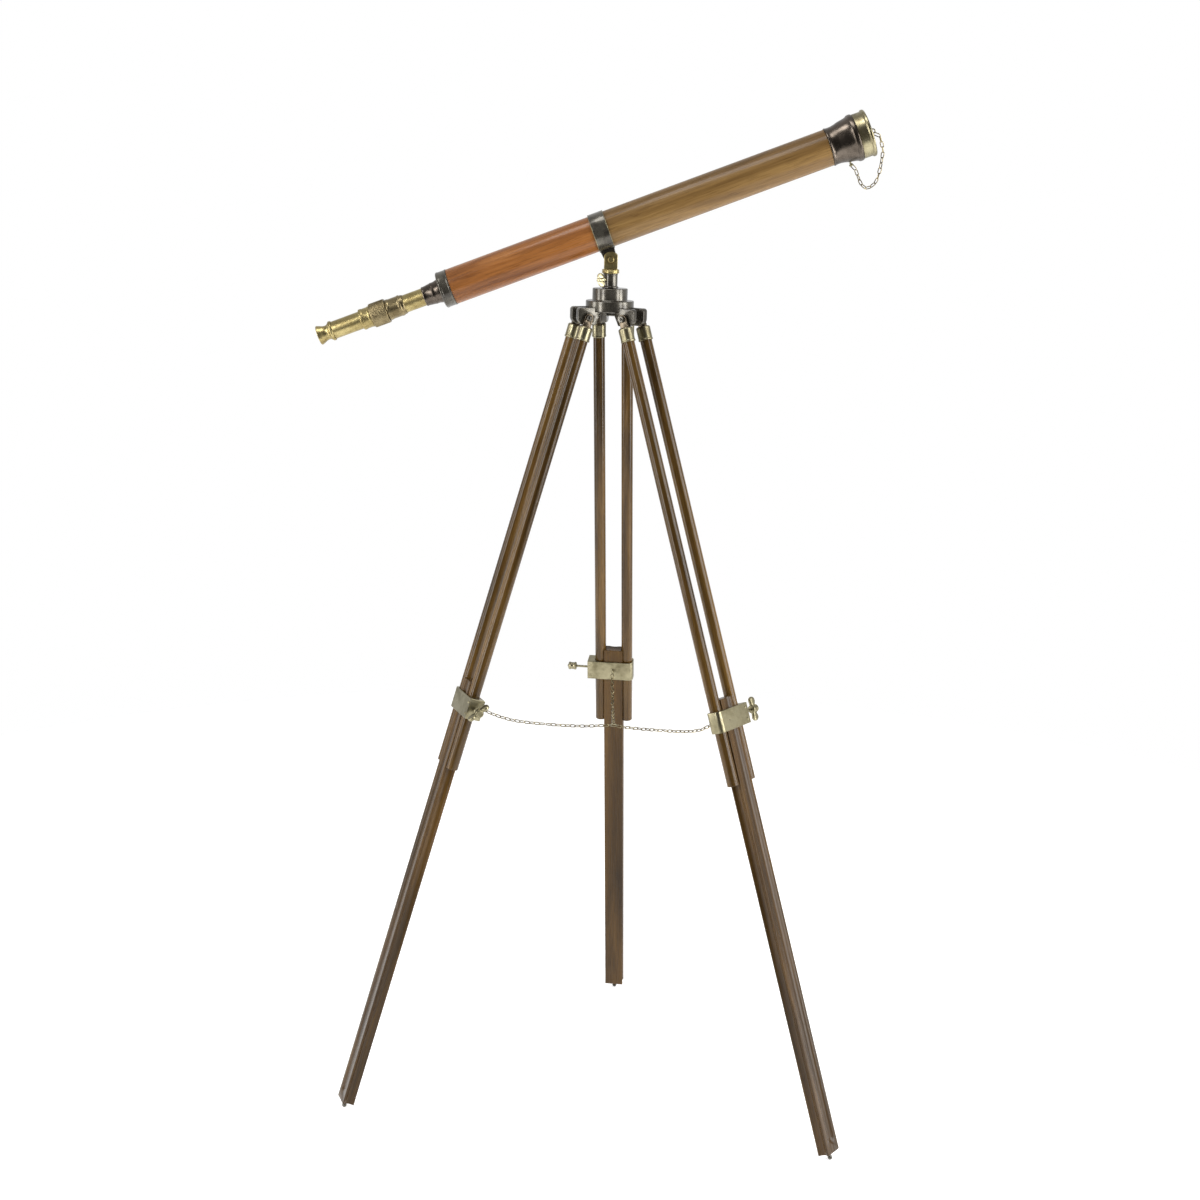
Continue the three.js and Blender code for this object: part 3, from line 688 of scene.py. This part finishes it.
def hinge_bolt():
    """A plain shank with a low domed head at one side and a hexagonal nut at the other."""
    reach = ROD_OFFSET + TONGUE_THICK / 2 + RUNNING_GAP
    end = -reach - BOLT_END
    shank = lathed([(0, end), (BOLT_R, end), (BOLT_R, reach + 1), (0, reach + 1)], 32)
    dome = [
        (0, reach), (BOLT_HEAD_R, reach),
        *arc(0, reach + 0.6, BOLT_HEAD_R, 5, 85, 8), (0, reach + BOLT_HEAD_R + 0.6),
    ]
    head = lathed([(radius, reach + (height - reach) * BOLT_HEAD_FLATTENED) for radius, height in dome], 48)
    nut = lathed([
        (0, -reach - NUT_THICK), (NUT_R - 0.5, -reach - NUT_THICK), (NUT_R, -reach - NUT_THICK + 0.5),
        (NUT_R, -reach - 0.5), (NUT_R - 0.5, -reach), (0, -reach),
    ], 6, 0)
    return [across(shank), across(head), across(nut)]


def ferrule_cup(side):
    """A turned cup with a beaded rim, bored out for the rod."""
    bore = ROD_R + FERRULE_FIT
    wall = FERRULE_R
    cup = lathed([
        (0, -ROD_TOP + 0.2), (bore, -ROD_TOP + 0.2), (bore, -FERRULE_END), (wall - 0.3, -FERRULE_END),
        (wall, -FERRULE_END + 0.8), (wall, -FERRULE_END + 2.2), (wall - 0.5, -FERRULE_END + 2.9),
        (wall - 0.3, -FERRULE_TOP - 2.2), (wall - 1.6, -FERRULE_TOP - 0.6), (wall - 3.2, -FERRULE_TOP),
        (0, -FERRULE_TOP),
    ], 80, 0.5)
    return [shifted(cup, 0, side * ROD_OFFSET, 0)]


def ferrule_tongue(side):
    """The flat tongue on the cup, round the hinge bolt."""
    foot = -FERRULE_TOP - 0.6
    outline = [*arc(0, 0, TONGUE_R, 0, 180, 24), (-TONGUE_R, foot), (TONGUE_R, foot)]
    return [plate(outline, TONGUE_THICK, 0.7, axis="y", middle=side * ROD_OFFSET,
                  holes=[arc(0, 0, BOLT_R + RUNNING_GAP, 0, 345, 23)])]


def leg_rod(leg, side):
    outline = [(0, -ROD_END[leg]), (ROD_R, -ROD_END[leg]), (ROD_R, -ROD_TOP), (0, -ROD_TOP)]
    return [shifted(lathed(outline, 64, 1.2), 0, side * ROD_OFFSET, 0)]


def clamp_strap(leg):
    """The brass strap round both rods and the bar, with its chain eyelet and rivets."""
    corner = CLAMP_CORNER
    opening = arc(ROD_OFFSET, 0, CLAMP_BORE, 90, -90, 20) + arc(-ROD_OFFSET, 0, CLAMP_BORE, 270, 90, 20)
    outline = [
        (CLAMP_RIGHT, -CLAMP_HALF), (CLAMP_RIGHT, CLAMP_HALF),
        *arc(CLAMP_LEFT + corner, CLAMP_HALF - corner, corner, 90, 180, 14),
        *arc(CLAMP_LEFT + corner, -CLAMP_HALF + corner, corner, 180, 270, 14),
    ]
    strap = turned_to(plate(outline, CLAMP_TALL, 0.6, holes=[opening]), 90, "Z")
    eyelet = turned_to(ring(EYELET_R, EYELET_WIRE, 32, 12), 90, "X")
    shifted(eyelet, -CLAMP_HALF - EYELET_R / 2, 0, 0)
    pieces = [strap, eyelet]
    for height in (-RIVET_GAP, RIVET_GAP):
        for side in (1, -1):
            rivet = turned_to(lathed(RIVET_OUTLINE, 24), -90 * side, "Y")
            pieces.append(shifted(rivet, side * CLAMP_HALF, CLAMP_RIGHT - RIVET_IN, height))
    return [shifted(piece, 0, 0, -CLAMP_AT[leg]) for piece in pieces]


def wing_screw(tip, start, hub):
    """A wing screw along Z: a drum-shaped hub with a turned waist, and two round ears in XZ."""
    end = start + hub["length"]
    radius = hub["radius"]
    shank = lathed([
        (0, tip), (SCREW_R - 0.4, tip), (SCREW_R, tip + 0.6), (SCREW_R, start + 1), (0, start + 1),
    ], 24)
    body = lathed([
        (0, start), (radius - 1.6, start), (radius - 0.4, start + 0.8), (radius, start + 2),
        (radius, start + 3), (radius - 0.9, start + 3.8), (radius - 0.9, end - 3.8), (radius, end - 3),
        (radius - 0.2, end - 1), (radius - 1.4, end), (radius - 2.6, end), (radius - 3, end - 0.6),
        (0, end - 0.4),
    ], 64, 0.5)
    thick = hub["thick"]
    wing = [(1, start + 3), (radius * 0.7, start + 2),
            *arc(hub["span"] - hub["ear"], (start + end) / 2, hub["ear"], -75, 135, 28), (1, end - 3)]
    wings = [turned_to(plate(wing, thick, thick * 0.36, axis="y"), angle, "Z") for angle in (0, 180)]
    return [shank, body, *wings]


def clamp_screw(leg):
    parts = wing_screw(ROD_OFFSET + CLAMP_BORE - 0.2, HUB_AT[leg], CLAMP_HUB)
    for part in parts:
        turned_to(part, WING_TURN[leg], "Z")
        across(part)
        shifted(part, 0, 0, -CLAMP_AT[leg])
    return parts


def bar_outline():
    half = BAR_WIDTH / 2
    face = BAR_THICK / 2
    edge = math.degrees(math.asin(math.sqrt(FLUTE_R ** 2 - (ROD_OFFSET - half) ** 2) / FLUTE_R))
    return softened([
        (half, -face), *arc(ROD_OFFSET, 0, FLUTE_R, 180 + edge, 180 - edge, 10), (half, face),
        (-half, face), *arc(-ROD_OFFSET, 0, FLUTE_R, edge, -edge, 10), (-half, -face),
    ], BAR_ROUND, True)


def lower_bar(leg):
    """The fluted bar, with a shallow groove down its outward face that stops in a round end."""
    end = leg_length(leg) - BAR_FOOT_GAP
    top = BAR_TOP[leg]
    bar = plate(bar_outline(), end - top, 0.8)
    turned_to(bar, 90, "Z")
    shifted(bar, 0, 0, -(end + top) / 2)
    radius = (GROOVE_WIDTH ** 2 / 4 + GROOVE_DEEP ** 2) / (2 * GROOVE_DEEP)
    stop = -end + GROOVE_STOP + GROOVE_WIDTH / 2
    past_top = -top + GROOVE_PAST_TOP
    cutter = lathed([*arc(0, stop, radius, -90, 0, 24), (radius, past_top), (0, past_top)], 192, 0)
    shifted(cutter, BAR_THICK / 2 - GROOVE_DEEP + radius, 0, 0)
    made = object_from(f"{leg}_fluted_bar", [bar], LEG_PLACES[leg])
    cut_from(made, object_from("groove", [cutter], LEG_PLACES[leg]))
    return made


def foot(leg):
    """A tapered pin with a ball tip that is cut flat where it stands."""
    place = LEG_PLACES[leg]
    centre = (place.translation.z / MM - FOOT_FLAT) / place.col[2].z
    top = -(leg_length(leg) - BAR_FOOT_GAP)
    pin = lathed([(0, -centre), (FOOT_PIN_R - 1, -centre), (FOOT_PIN_R - 0.4, top - 5), (FOOT_PIN_R, top - 3),
                  (FOOT_PIN_R + 1.4, top - 1.2), (FOOT_PIN_R + 1.4, top), (0, top)], 32)
    ball = lathed(arc(0, -centre, FOOT_BALL_R, -90, 90, 16), 32, 0)
    for vertex in ball.verts:
        vertex.co.z = max(vertex.co.z, -centre - FOOT_FLAT + 0.02)
    return [pin, ball]


def legs():
    for leg in LEGS:
        place = LEG_PLACES[leg]
        upper = f"{leg}_upper"
        dress(object_from(f"{leg}_bolt_and_nut", hinge_bolt(), place), "head", [f"{leg}_hinge_bolt"])
        for label, side in (("1", -1), ("2", 1)):
            dress(object_from(f"{leg}_round_rod_{label}", leg_rod(leg, side), place), upper,
                  [f"{leg}_rod_{label}"])
            dress(object_from(f"{leg}_brass_ferrule_{label}", ferrule_cup(side), place), upper,
                  [f"{leg}_ferrule_{label}"])
            dress(object_from(f"{leg}_tongue_{label}", ferrule_tongue(side), place), upper, [], "dark_bronze")
        dress(object_from(f"{leg}_clamp_strap", clamp_strap(leg), place), upper, [f"{leg}_clamp"])
        dress(object_from(f"{leg}_winged_screw", clamp_screw(leg), place), f"{leg}_clamp_screw",
              [f"{leg}_wing_screw"])
        dress(lower_bar(leg), f"{leg}_lower", [f"{leg}_lower_bar"])
        dress(object_from(f"{leg}_foot_pin", foot(leg), place), f"{leg}_lower", [f"{leg}_foot"])


# ---- Head ----

HINGE_R = 45
HINGE_Z = 1311
FLANGE_R = 38.6
FLANGE_BOTTOM = 1319.5
FLANGE_TOP = 1337
DRUM_R = 28.2
DRUM_TOP = 1356.3
SOCKET_R = 11.9
SOCKET_TOP = 1379.5
SOCKET_BORE = 5.3
SPIGOT_R = 8        # the socket's lower end, let into the drum
SPIGOT_BOTTOM = 1341
SPINDLE_R = 5
SPINDLE_BOTTOM = 1342
LUG_MIDDLE = 14
LUG_THICK = 10.6
LUG_BELOW = 12
LUG_ABOVE = 16
LUG_REACH = 16
LUG_INNER_R = 24
LUG_ROOT = 5        # how far the lug's slanted edge starts below the flange
LUG_TOE = -13       # where that edge ends, towards the hinge
LUG_CORNER_R = 5
LOCK_Z = 1369.5
LOCK_TILT = 105
LOCK_HUB = {"length": 14, "radius": 4.2, "span": 11, "ear": 7, "thick": 2.8}
COLLAR_R = 14
COLLAR_TOP = 1386.5
CLEVIS_HALF = 10.75
SLOT_HALF = 5.4
SLOT_FLOOR = 1391
PIVOT_Z = 1401.5
PIVOT_PIN_R = 3
CHEEK_TOP_R = 12.8


def lug(leg, side):
    inner = LUG_INNER_R - HINGE_R
    outline = [
        (inner, FLANGE_BOTTOM - HINGE_Z - LUG_ROOT), (LUG_TOE, -LUG_BELOW),
        *arc(LUG_REACH - LUG_BELOW, 0, LUG_BELOW, -90, 0, 14),
        *arc(LUG_REACH - LUG_CORNER_R, LUG_ABOVE - LUG_CORNER_R, LUG_CORNER_R, 0, 90, 8),
        (inner, LUG_ABOVE),
    ]
    made = plate(outline, LUG_THICK, 1.3, axis="y", middle=side * LUG_MIDDLE,
                 holes=[arc(0, 0, BOLT_R + RUNNING_GAP, 0, 345, 23)])
    shifted(made, HINGE_R, 0, HINGE_Z)
    away = JOINTS[f"{leg}_fold"]["axis"]
    return turned_to(made, math.degrees(math.atan2(-away[0], away[1])), "Z")


def tripod_head():
    body = lathed([
        (0, FLANGE_BOTTOM), (FLANGE_R, FLANGE_BOTTOM), (FLANGE_R, FLANGE_TOP), (DRUM_R + 1.2, FLANGE_TOP),
        (DRUM_R, FLANGE_TOP + 1), (DRUM_R, DRUM_TOP), (SPIGOT_R + RUNNING_GAP, DRUM_TOP),
        (SPIGOT_R + RUNNING_GAP, SPIGOT_BOTTOM - RUNNING_GAP), (0, SPIGOT_BOTTOM - RUNNING_GAP),
    ], FACETS, 1.6)
    lugs = [lug(leg, side) for leg in LEGS for side in (-1, 1)]
    return [body, *lugs]


def swivel_socket():
    seat = DRUM_TOP + RUNNING_GAP
    return [lathed([
        (SOCKET_BORE, SPIGOT_BOTTOM), (SPIGOT_R, SPIGOT_BOTTOM), (SPIGOT_R, seat), (SOCKET_R + 1.2, seat),
        (SOCKET_R + 1.2, DRUM_TOP + 2.3), (SOCKET_R - 0.4, DRUM_TOP + 3.6), (SOCKET_R - 0.4, SOCKET_TOP - 2),
        (SOCKET_R, SOCKET_TOP - 1.5), (SOCKET_R, SOCKET_TOP), (SOCKET_BORE, SOCKET_TOP),
    ], 96, 0.6)]


def lock_screw():
    parts = wing_screw(SOCKET_BORE, SOCKET_R + 1, LOCK_HUB)
    away = JOINTS["lock_screw_turn"]["axis"]
    for part in parts:
        turned_to(part, 90, "Z")
        turned_to(part, 90, "Y")
        turned_to(part, LOCK_TILT, "X")
        turned_to(part, math.degrees(math.atan2(away[1], away[0])), "Z")
        shifted(part, 0, 0, LOCK_Z)
    return parts


def swivel_clevis():
    """The spindle and waisted collar in one turning, and the block and two cheeks that hold the tilt pin."""
    bottom = SOCKET_TOP + RUNNING_GAP
    collar = lathed([
        (0, SPINDLE_BOTTOM), (SPINDLE_R, SPINDLE_BOTTOM), (SPINDLE_R, bottom), (COLLAR_R - 0.6, bottom),
        (COLLAR_R, bottom + 1.2), (COLLAR_R - 0.7, COLLAR_TOP - 3.5), (COLLAR_R, COLLAR_TOP - 1.9),
        (COLLAR_R - 0.8, COLLAR_TOP - 0.6), (COLLAR_R - 3.5, COLLAR_TOP), (0, COLLAR_TOP),
    ], 96, 0.5)
    base = plate([(-CLEVIS_HALF, COLLAR_TOP - 1), (CLEVIS_HALF, COLLAR_TOP - 1), (CLEVIS_HALF, SLOT_FLOOR),
                  (-CLEVIS_HALF, SLOT_FLOOR)], 2 * CLEVIS_HALF, 0.8, axis="y")
    shoulder = math.degrees(math.acos(CLEVIS_HALF / CHEEK_TOP_R))
    outline = [
        (-CLEVIS_HALF, COLLAR_TOP), (CLEVIS_HALF, COLLAR_TOP),
        *arc(0, PIVOT_Z, CHEEK_TOP_R, shoulder, 180 - shoulder, 20),
    ]
    thick = CLEVIS_HALF - SLOT_HALF
    cheeks = [
        plate(outline, thick, 0.9, axis="y", middle=side * (SLOT_HALF + thick / 2),
              holes=[arc(0, PIVOT_Z, PIVOT_PIN_R + RUNNING_GAP, 0, 345, 23)])
        for side in (-1, 1)
    ]
    return [collar, base, *cheeks]


def tilt_pin():
    """A plain pin with the same chamfered head at both ends."""
    face = CLEVIS_HALF + RUNNING_GAP
    pin = lathed([
        (0, -face - 2.6), (4.2, -face - 2.6), (5.2, -face - 1.4), (5.2, -face), (PIVOT_PIN_R, -face),
        (PIVOT_PIN_R, face), (5.2, face), (5.2, face + 1.4), (4.2, face + 2.6), (0, face + 2.6),
    ], 48)
    return [shifted(across(pin), 0, 0, PIVOT_Z)]


def head():
    dress(object_from("head_casting", tripod_head(), HEAD), "head", ["tripod_head"])
    dress(object_from("socket_turning", swivel_socket(), HEAD), "head", ["swivel_socket"])
    dress(object_from("lock_wing_screw", lock_screw(), HEAD), "lock_screw", ["swivel_lock_screw"],
          look="worn_brass")
    dress(object_from("clevis_casting", swivel_clevis(), HEAD), "swivel", ["swivel_clevis"])
    dress(object_from("pivot_pin", tilt_pin(), HEAD), "swivel", ["tilt_pin"])


# ---- Telescope, drawn along Z from below the pivot, with x downwards ----

FRONT_R = 28.9
REAR_R = 28.6
WOOD_BORE = 24.5
FRONT_END = 380
REAR_END = -266
REAR_NECK_R = 27    # the rear tube's end, stepped down for the collar
REAR_SHOULDER = -254
TUBE_GAP = 0.15     # from the middle of the band to each tube
BAND_R = 30.9
BAND_HALF = 12
EDGE_WIRE = 0.45
KNURL = {"inner": 15.7, "outer": 19.6, "low": -390.8, "high": -364}


def band():
    """The hoop round the joint of the two tubes, and the tongue that goes down into the clevis."""
    end = PIVOT_Z - SLOT_FLOOR - 1
    bore = FRONT_R + RUNNING_GAP
    hoop = lathed([
        (bore, -BAND_HALF), (BAND_R, -BAND_HALF), (BAND_R, BAND_HALF), (bore, BAND_HALF),
    ], FACETS, 0.5)
    tongue = plate([
        (BAND_R - 1.2, -BAND_HALF + 0.5), (BAND_R + 0.5, -BAND_HALF + 0.5),
        *arc(BARREL_RISE, 0, end, -75, 75, 24),
        (BAND_R + 0.5, BAND_HALF - 0.5), (BAND_R - 1.2, BAND_HALF - 0.5),
    ], 2 * SLOT_HALF - 0.8, 0.8, axis="y", holes=[arc(BARREL_RISE, 0, PIVOT_PIN_R + RUNNING_GAP, 0, 345, 23)])
    return [hoop, tongue]


def knurled_ring(inner, outer, low, high, cuts=52, deep=0.55):
    """A ring with a diamond knurl between two plain edges."""
    around = cuts * 8
    rows = 40
    mesh = bmesh.new()
    edge = 2.2
    rings = []
    levels = [(inner, low), (outer - 1.2, low), (outer - 0.3, low + 0.8), (outer - 0.3, low + edge - 0.4)]
    for radius, height in levels:
        rings.append([(radius, height)] * around)
    for row in range(rows + 1):
        height = low + edge + (high - low - 2 * edge) * row / rows
        circle = []
        for i in range(around):
            turn = math.tau * i / around
            lean = (height - low) / (outer * 0.55)
            first = abs(math.sin((turn + lean * 0.55) * cuts / 2))
            second = abs(math.sin((turn - lean * 0.55) * cuts / 2))
            circle.append((outer - deep + deep * min(1, 1.25 * first * second), height))
        rings.append(circle)
    for radius, height in reversed(levels):
        rings.append([(radius, low + high - height)] * around)
    verts = [
        [mesh.verts.new((r * math.cos(math.tau * i / around), r * math.sin(math.tau * i / around), z))
         for i, (r, z) in enumerate(circle)]
        for circle in rings
    ]
    for lower, upper in zip(verts, verts[1:] + verts[:1]):
        for i in range(around):
            j = (i + 1) % around
            mesh.faces.new((lower[i], lower[j], upper[j], upper[i]))
    return mesh


BELL_OUTLINE = [
    (22.6, 356), (24.2, 356), (24.2, 380.3), (29.9, 380.3), (30.3, 382), (29.6, 383.6), (29.3, 387),
    (29.5, 392), (30.6, 398), (32.4, 404), (33.2, 409), (34.3, 415), (35.4, 418.4), (36.8, 420),
    (37.2, 422.5), (37.2, 425), (36.6, 427), (33.3, 427.1), (33.3, 440), (31.2, 440), (31.2, 406),
    (28, 406), (22.6, 392),
]
CAP_OUTLINE = [
    (33.6, 427.5), (35.5, 427.5), (35.5, 441.8), (36.6, 442.6), (37.4, 443.8), (37.4, 446.6),
    (36.4, 448), (34, 448), (33.2, 447.5), (20, 447.5), (19, 448), (7, 448), (0, 448), (0, 444),
    (33.6, 444),
]
TELESCOPE_TURNINGS = {
    "front_barrel": [(WOOD_BORE, TUBE_GAP), (FRONT_R, TUBE_GAP), (FRONT_R, FRONT_END),
                     (WOOD_BORE, FRONT_END)],
    "rear_barrel": [(WOOD_BORE, REAR_END), (REAR_NECK_R, REAR_END), (REAR_NECK_R, REAR_SHOULDER),
                    (REAR_R, REAR_SHOULDER), (REAR_R, -TUBE_GAP), (WOOD_BORE, -TUBE_GAP)],
    "front_bell": BELL_OUTLINE,
    "rear_collar": [(19, -272), (27.7, -272), (29.3, -270.4), (29.3, -268), (28.8, -267.2), (28.8, -257),
                    (29.3, -256.2), (29.3, -254.3), (27.3, -254.3), (27.3, -269), (19, -269)],
    "rear_adapter": [(14.5, -301), (15.4, -301), (15.9, -299.6), (15.5, -297.5), (16.2, -293), (17, -286.5),
                     (17.6, -285), (17.3, -282.5), (17.6, -279), (18.8, -275), (18.8, -272.2), (18.6, -268.6),
                     (24.2, -268.6), (24.2, -240), (14.5, -240)],
    "draw_tube": [(12.9, -336.5), (14.2, -336.5), (14.2, -195), (17, -195), (17, -190), (12.9, -190)],
    "focus_body": [(14.5, -390.8), (15.4, -390.8), (15.4, -363.7), (16.4, -363.7), (16.9, -362.5),
                   (16.9, -359.5), (16.3, -358), (16.3, -344), (16.9, -342.6), (16.9, -340.6),
                   (15.8, -338.6), (15.4, -335.4), (14.5, -334)],
    "rear_sleeve": [(14.5, -409), (16.2, -409), (17, -407.8), (17, -404.6), (16.4, -403.4), (16.4, -395),
                    (17, -393.8), (17, -391.2), (14.5, -391.2)],
    "eyepiece_tube": [(12.9, -457), (14.15, -457), (14.15, -350), (12.9, -350)],
    "eyecup": [(11.2, -482.5), (15.2, -482.5), (15.75, -481.8), (15.2, -479.6), (13.2, -474.6),
               (11.9, -471.5), (11.5, -468.5), (11.9, -465.5), (13.6, -463.2), (15.6, -461.6),
               (16, -460.6), (16, -458.6), (15.4, -457.3), (12.6, -457.3), (12.6, -452), (9.6, -452),
               (9.6, -471)],
}
LOOKS = {"focus_body": "aged_brass", "rear_adapter": "bell_bronze", "front_bell": "bell_bronze"}
BODY_OF = {node: name for name, nodes in frame["record"]["behaviour"]["bodies"].items() for node in nodes}


def cap_knob():
    knob = lathed([(0, 447.6), (5, 447.6), (5, 449), (3, 450), (2.3, 451.4), (0, 451.8)], 48)
    loop = turned_to(ring(CAP_LOOP_R, CAP_LOOP_WIRE, 40, 12), 90, "X")
    return [knob, shifted(loop, 0, 0, CAP_LOOP_S)]


def stud():
    made = lathed([(0, -0.4), (2.2, -0.4), (1.6, 0.8), (1.6, 3), (3, 3.6), (3.1, 4.6), (2.6, 5.8), (1.2, 6.5),
                   (0, 6.6)], 32)
    turned_to(made, 90, "Y")
    return [shifted(made, STUD_FOOT, 0, STUD_S)]


def band_highlight_wires():
    """Thin brass wires at the band's two edges: a guessed bead that also paints in the highlight line along the
    band's edge.
    """
    return [
        shifted(ring(BAND_R - 0.2, EDGE_WIRE, FACETS, 10), 0, 0, side * (BAND_HALF + 0.2))
        for side in (-1, 1)
    ]


def telescope():
    for node, outline in TELESCOPE_TURNINGS.items():
        made = object_from(f"{node}_turning", [lathed(outline, FACETS, 0.4)], BARREL)
        dress(made, BODY_OF[node], [node], look=LOOKS.get(node))
    cap = [lathed(CAP_OUTLINE, FACETS, 0.4), *cap_knob()]
    dress(object_from("cap_pressing", cap, BARREL), "cap", ["dust_cap"])
    dress(object_from("band_and_tongue", band(), BARREL), "barrel", ["barrel_band"])
    # brass wires that paint a highlight line at each edge of the band
    dress(object_from("band_edge_highlight", band_highlight_wires(), BARREL), "barrel", [], "antique_brass")
    dress(object_from("chain_anchor", stud(), BARREL), "barrel", ["chain_stud"])
    knurl = knurled_ring(**KNURL)
    dress(object_from("knurled_ring", [knurl], BARREL, 75), "focus", ["focus_ring"], look="aged_brass")


def plain_cad_pieces():
    """The inner CAD pieces that show as they are."""
    for node, made in frame["nodes"].items():
        if not made.hide_render:
            made.data.materials.clear()
            made.data.materials.append(MATERIALS[SLOT_OF[node]])


# ---- Studio ----

FLOOR_R = 2.4
FLOOR_GLOW = 0.5
FLOOR_WHITE = (0.92, 0.92, 0.92, 1)
BEHIND_OBJECT = 0.8
BEHIND_CAMERA = 0.06


def studio():
    """A white floor that blends into a white backdrop, a room darker behind the camera, and soft boxes."""
    floor_mesh = bmesh.new()
    bmesh.ops.create_circle(floor_mesh, cap_ends=True, segments=128, radius=FLOOR_R)
    data = bpy.data.meshes.new("floor")
    floor_mesh.to_mesh(data)
    floor_mesh.free()
    floor = bpy.data.objects.new("floor", data)
    floor.location.z = -0.0005
    paint = Finish("floor", Roughness=0.8, Emission_Strength=FLOOR_GLOW)
    paint.shader.inputs["Base Color"].default_value = FLOOR_WHITE
    paint.shader.inputs["Emission Color"].default_value = (1, 1, 1, 1)
    data.materials.append(paint.material)
    bpy.context.scene.collection.objects.link(floor)
    room()
    area_light("left_box", (-1.7, -1.7, 1.6), (0, 0, 1.1), 0.5, 2.2, 34)
    area_light("right_box", (1.9, -1.4, 1.6), (0, 0, 1.1), 0.5, 2.2, 30)
    area_light("right_edge", (2.3, -0.55, 1.2), (0, 0, 1.0), 0.7, 2.2, 40)
    area_light("left_edge", (-2.3, -0.45, 1.2), (0, 0, 1.0), 0.6, 2.2, 26)
    area_light("top_box", (-0.3, -0.6, 3.3), (0, 0, 1.0), 1.2, 0.7, 18)
    bpy.context.scene.view_settings.view_transform = "Standard"


def room():
    """White to the eye; as a light it is bright behind the object and dim behind the camera."""
    world = bpy.data.worlds.new("studio")
    world.use_nodes = True
    nodes = world.node_tree.nodes
    links = world.node_tree.links
    light = nodes["Background"]
    way = nodes.new("ShaderNodeTexCoord")
    split = nodes.new("ShaderNodeSeparateXYZ")
    strength = nodes.new("ShaderNodeMapRange")
    strength.inputs["From Min"].default_value = -0.8
    strength.inputs["From Max"].default_value = 0.8
    strength.inputs["To Min"].default_value = BEHIND_CAMERA
    strength.inputs["To Max"].default_value = BEHIND_OBJECT
    links.new(way.outputs["Generated"], split.inputs["Vector"])
    links.new(split.outputs["Y"], strength.inputs["Value"])
    links.new(strength.outputs["Result"], light.inputs["Strength"])
    light.inputs["Color"].default_value = (1, 1, 1, 1)
    seen = nodes.new("ShaderNodeBackground")
    seen.inputs["Color"].default_value = (1, 1, 1, 1)
    path = nodes.new("ShaderNodeLightPath")
    mix = nodes.new("ShaderNodeMixShader")
    links.new(path.outputs["Is Camera Ray"], mix.inputs["Fac"])
    links.new(light.outputs["Background"], mix.inputs[1])
    links.new(seen.outputs["Background"], mix.inputs[2])
    links.new(mix.outputs["Shader"], nodes["World Output"].inputs["Surface"])
    bpy.context.scene.world = world


def area_light(name, place, target, width, height, power):
    data = bpy.data.lights.new(name, "AREA")
    data.shape = "RECTANGLE"
    data.size = width
    data.size_y = height
    data.energy = power
    light = bpy.data.objects.new(name, data)
    light.location = place
    light.rotation_euler = (Vector(target) - Vector(place)).to_track_quat("-Z", "Y").to_euler()
    bpy.context.scene.collection.objects.link(light)


make_camera()
leg_chains()
cap_chain()
legs()
head()
telescope()
plain_cad_pieces()
studio()
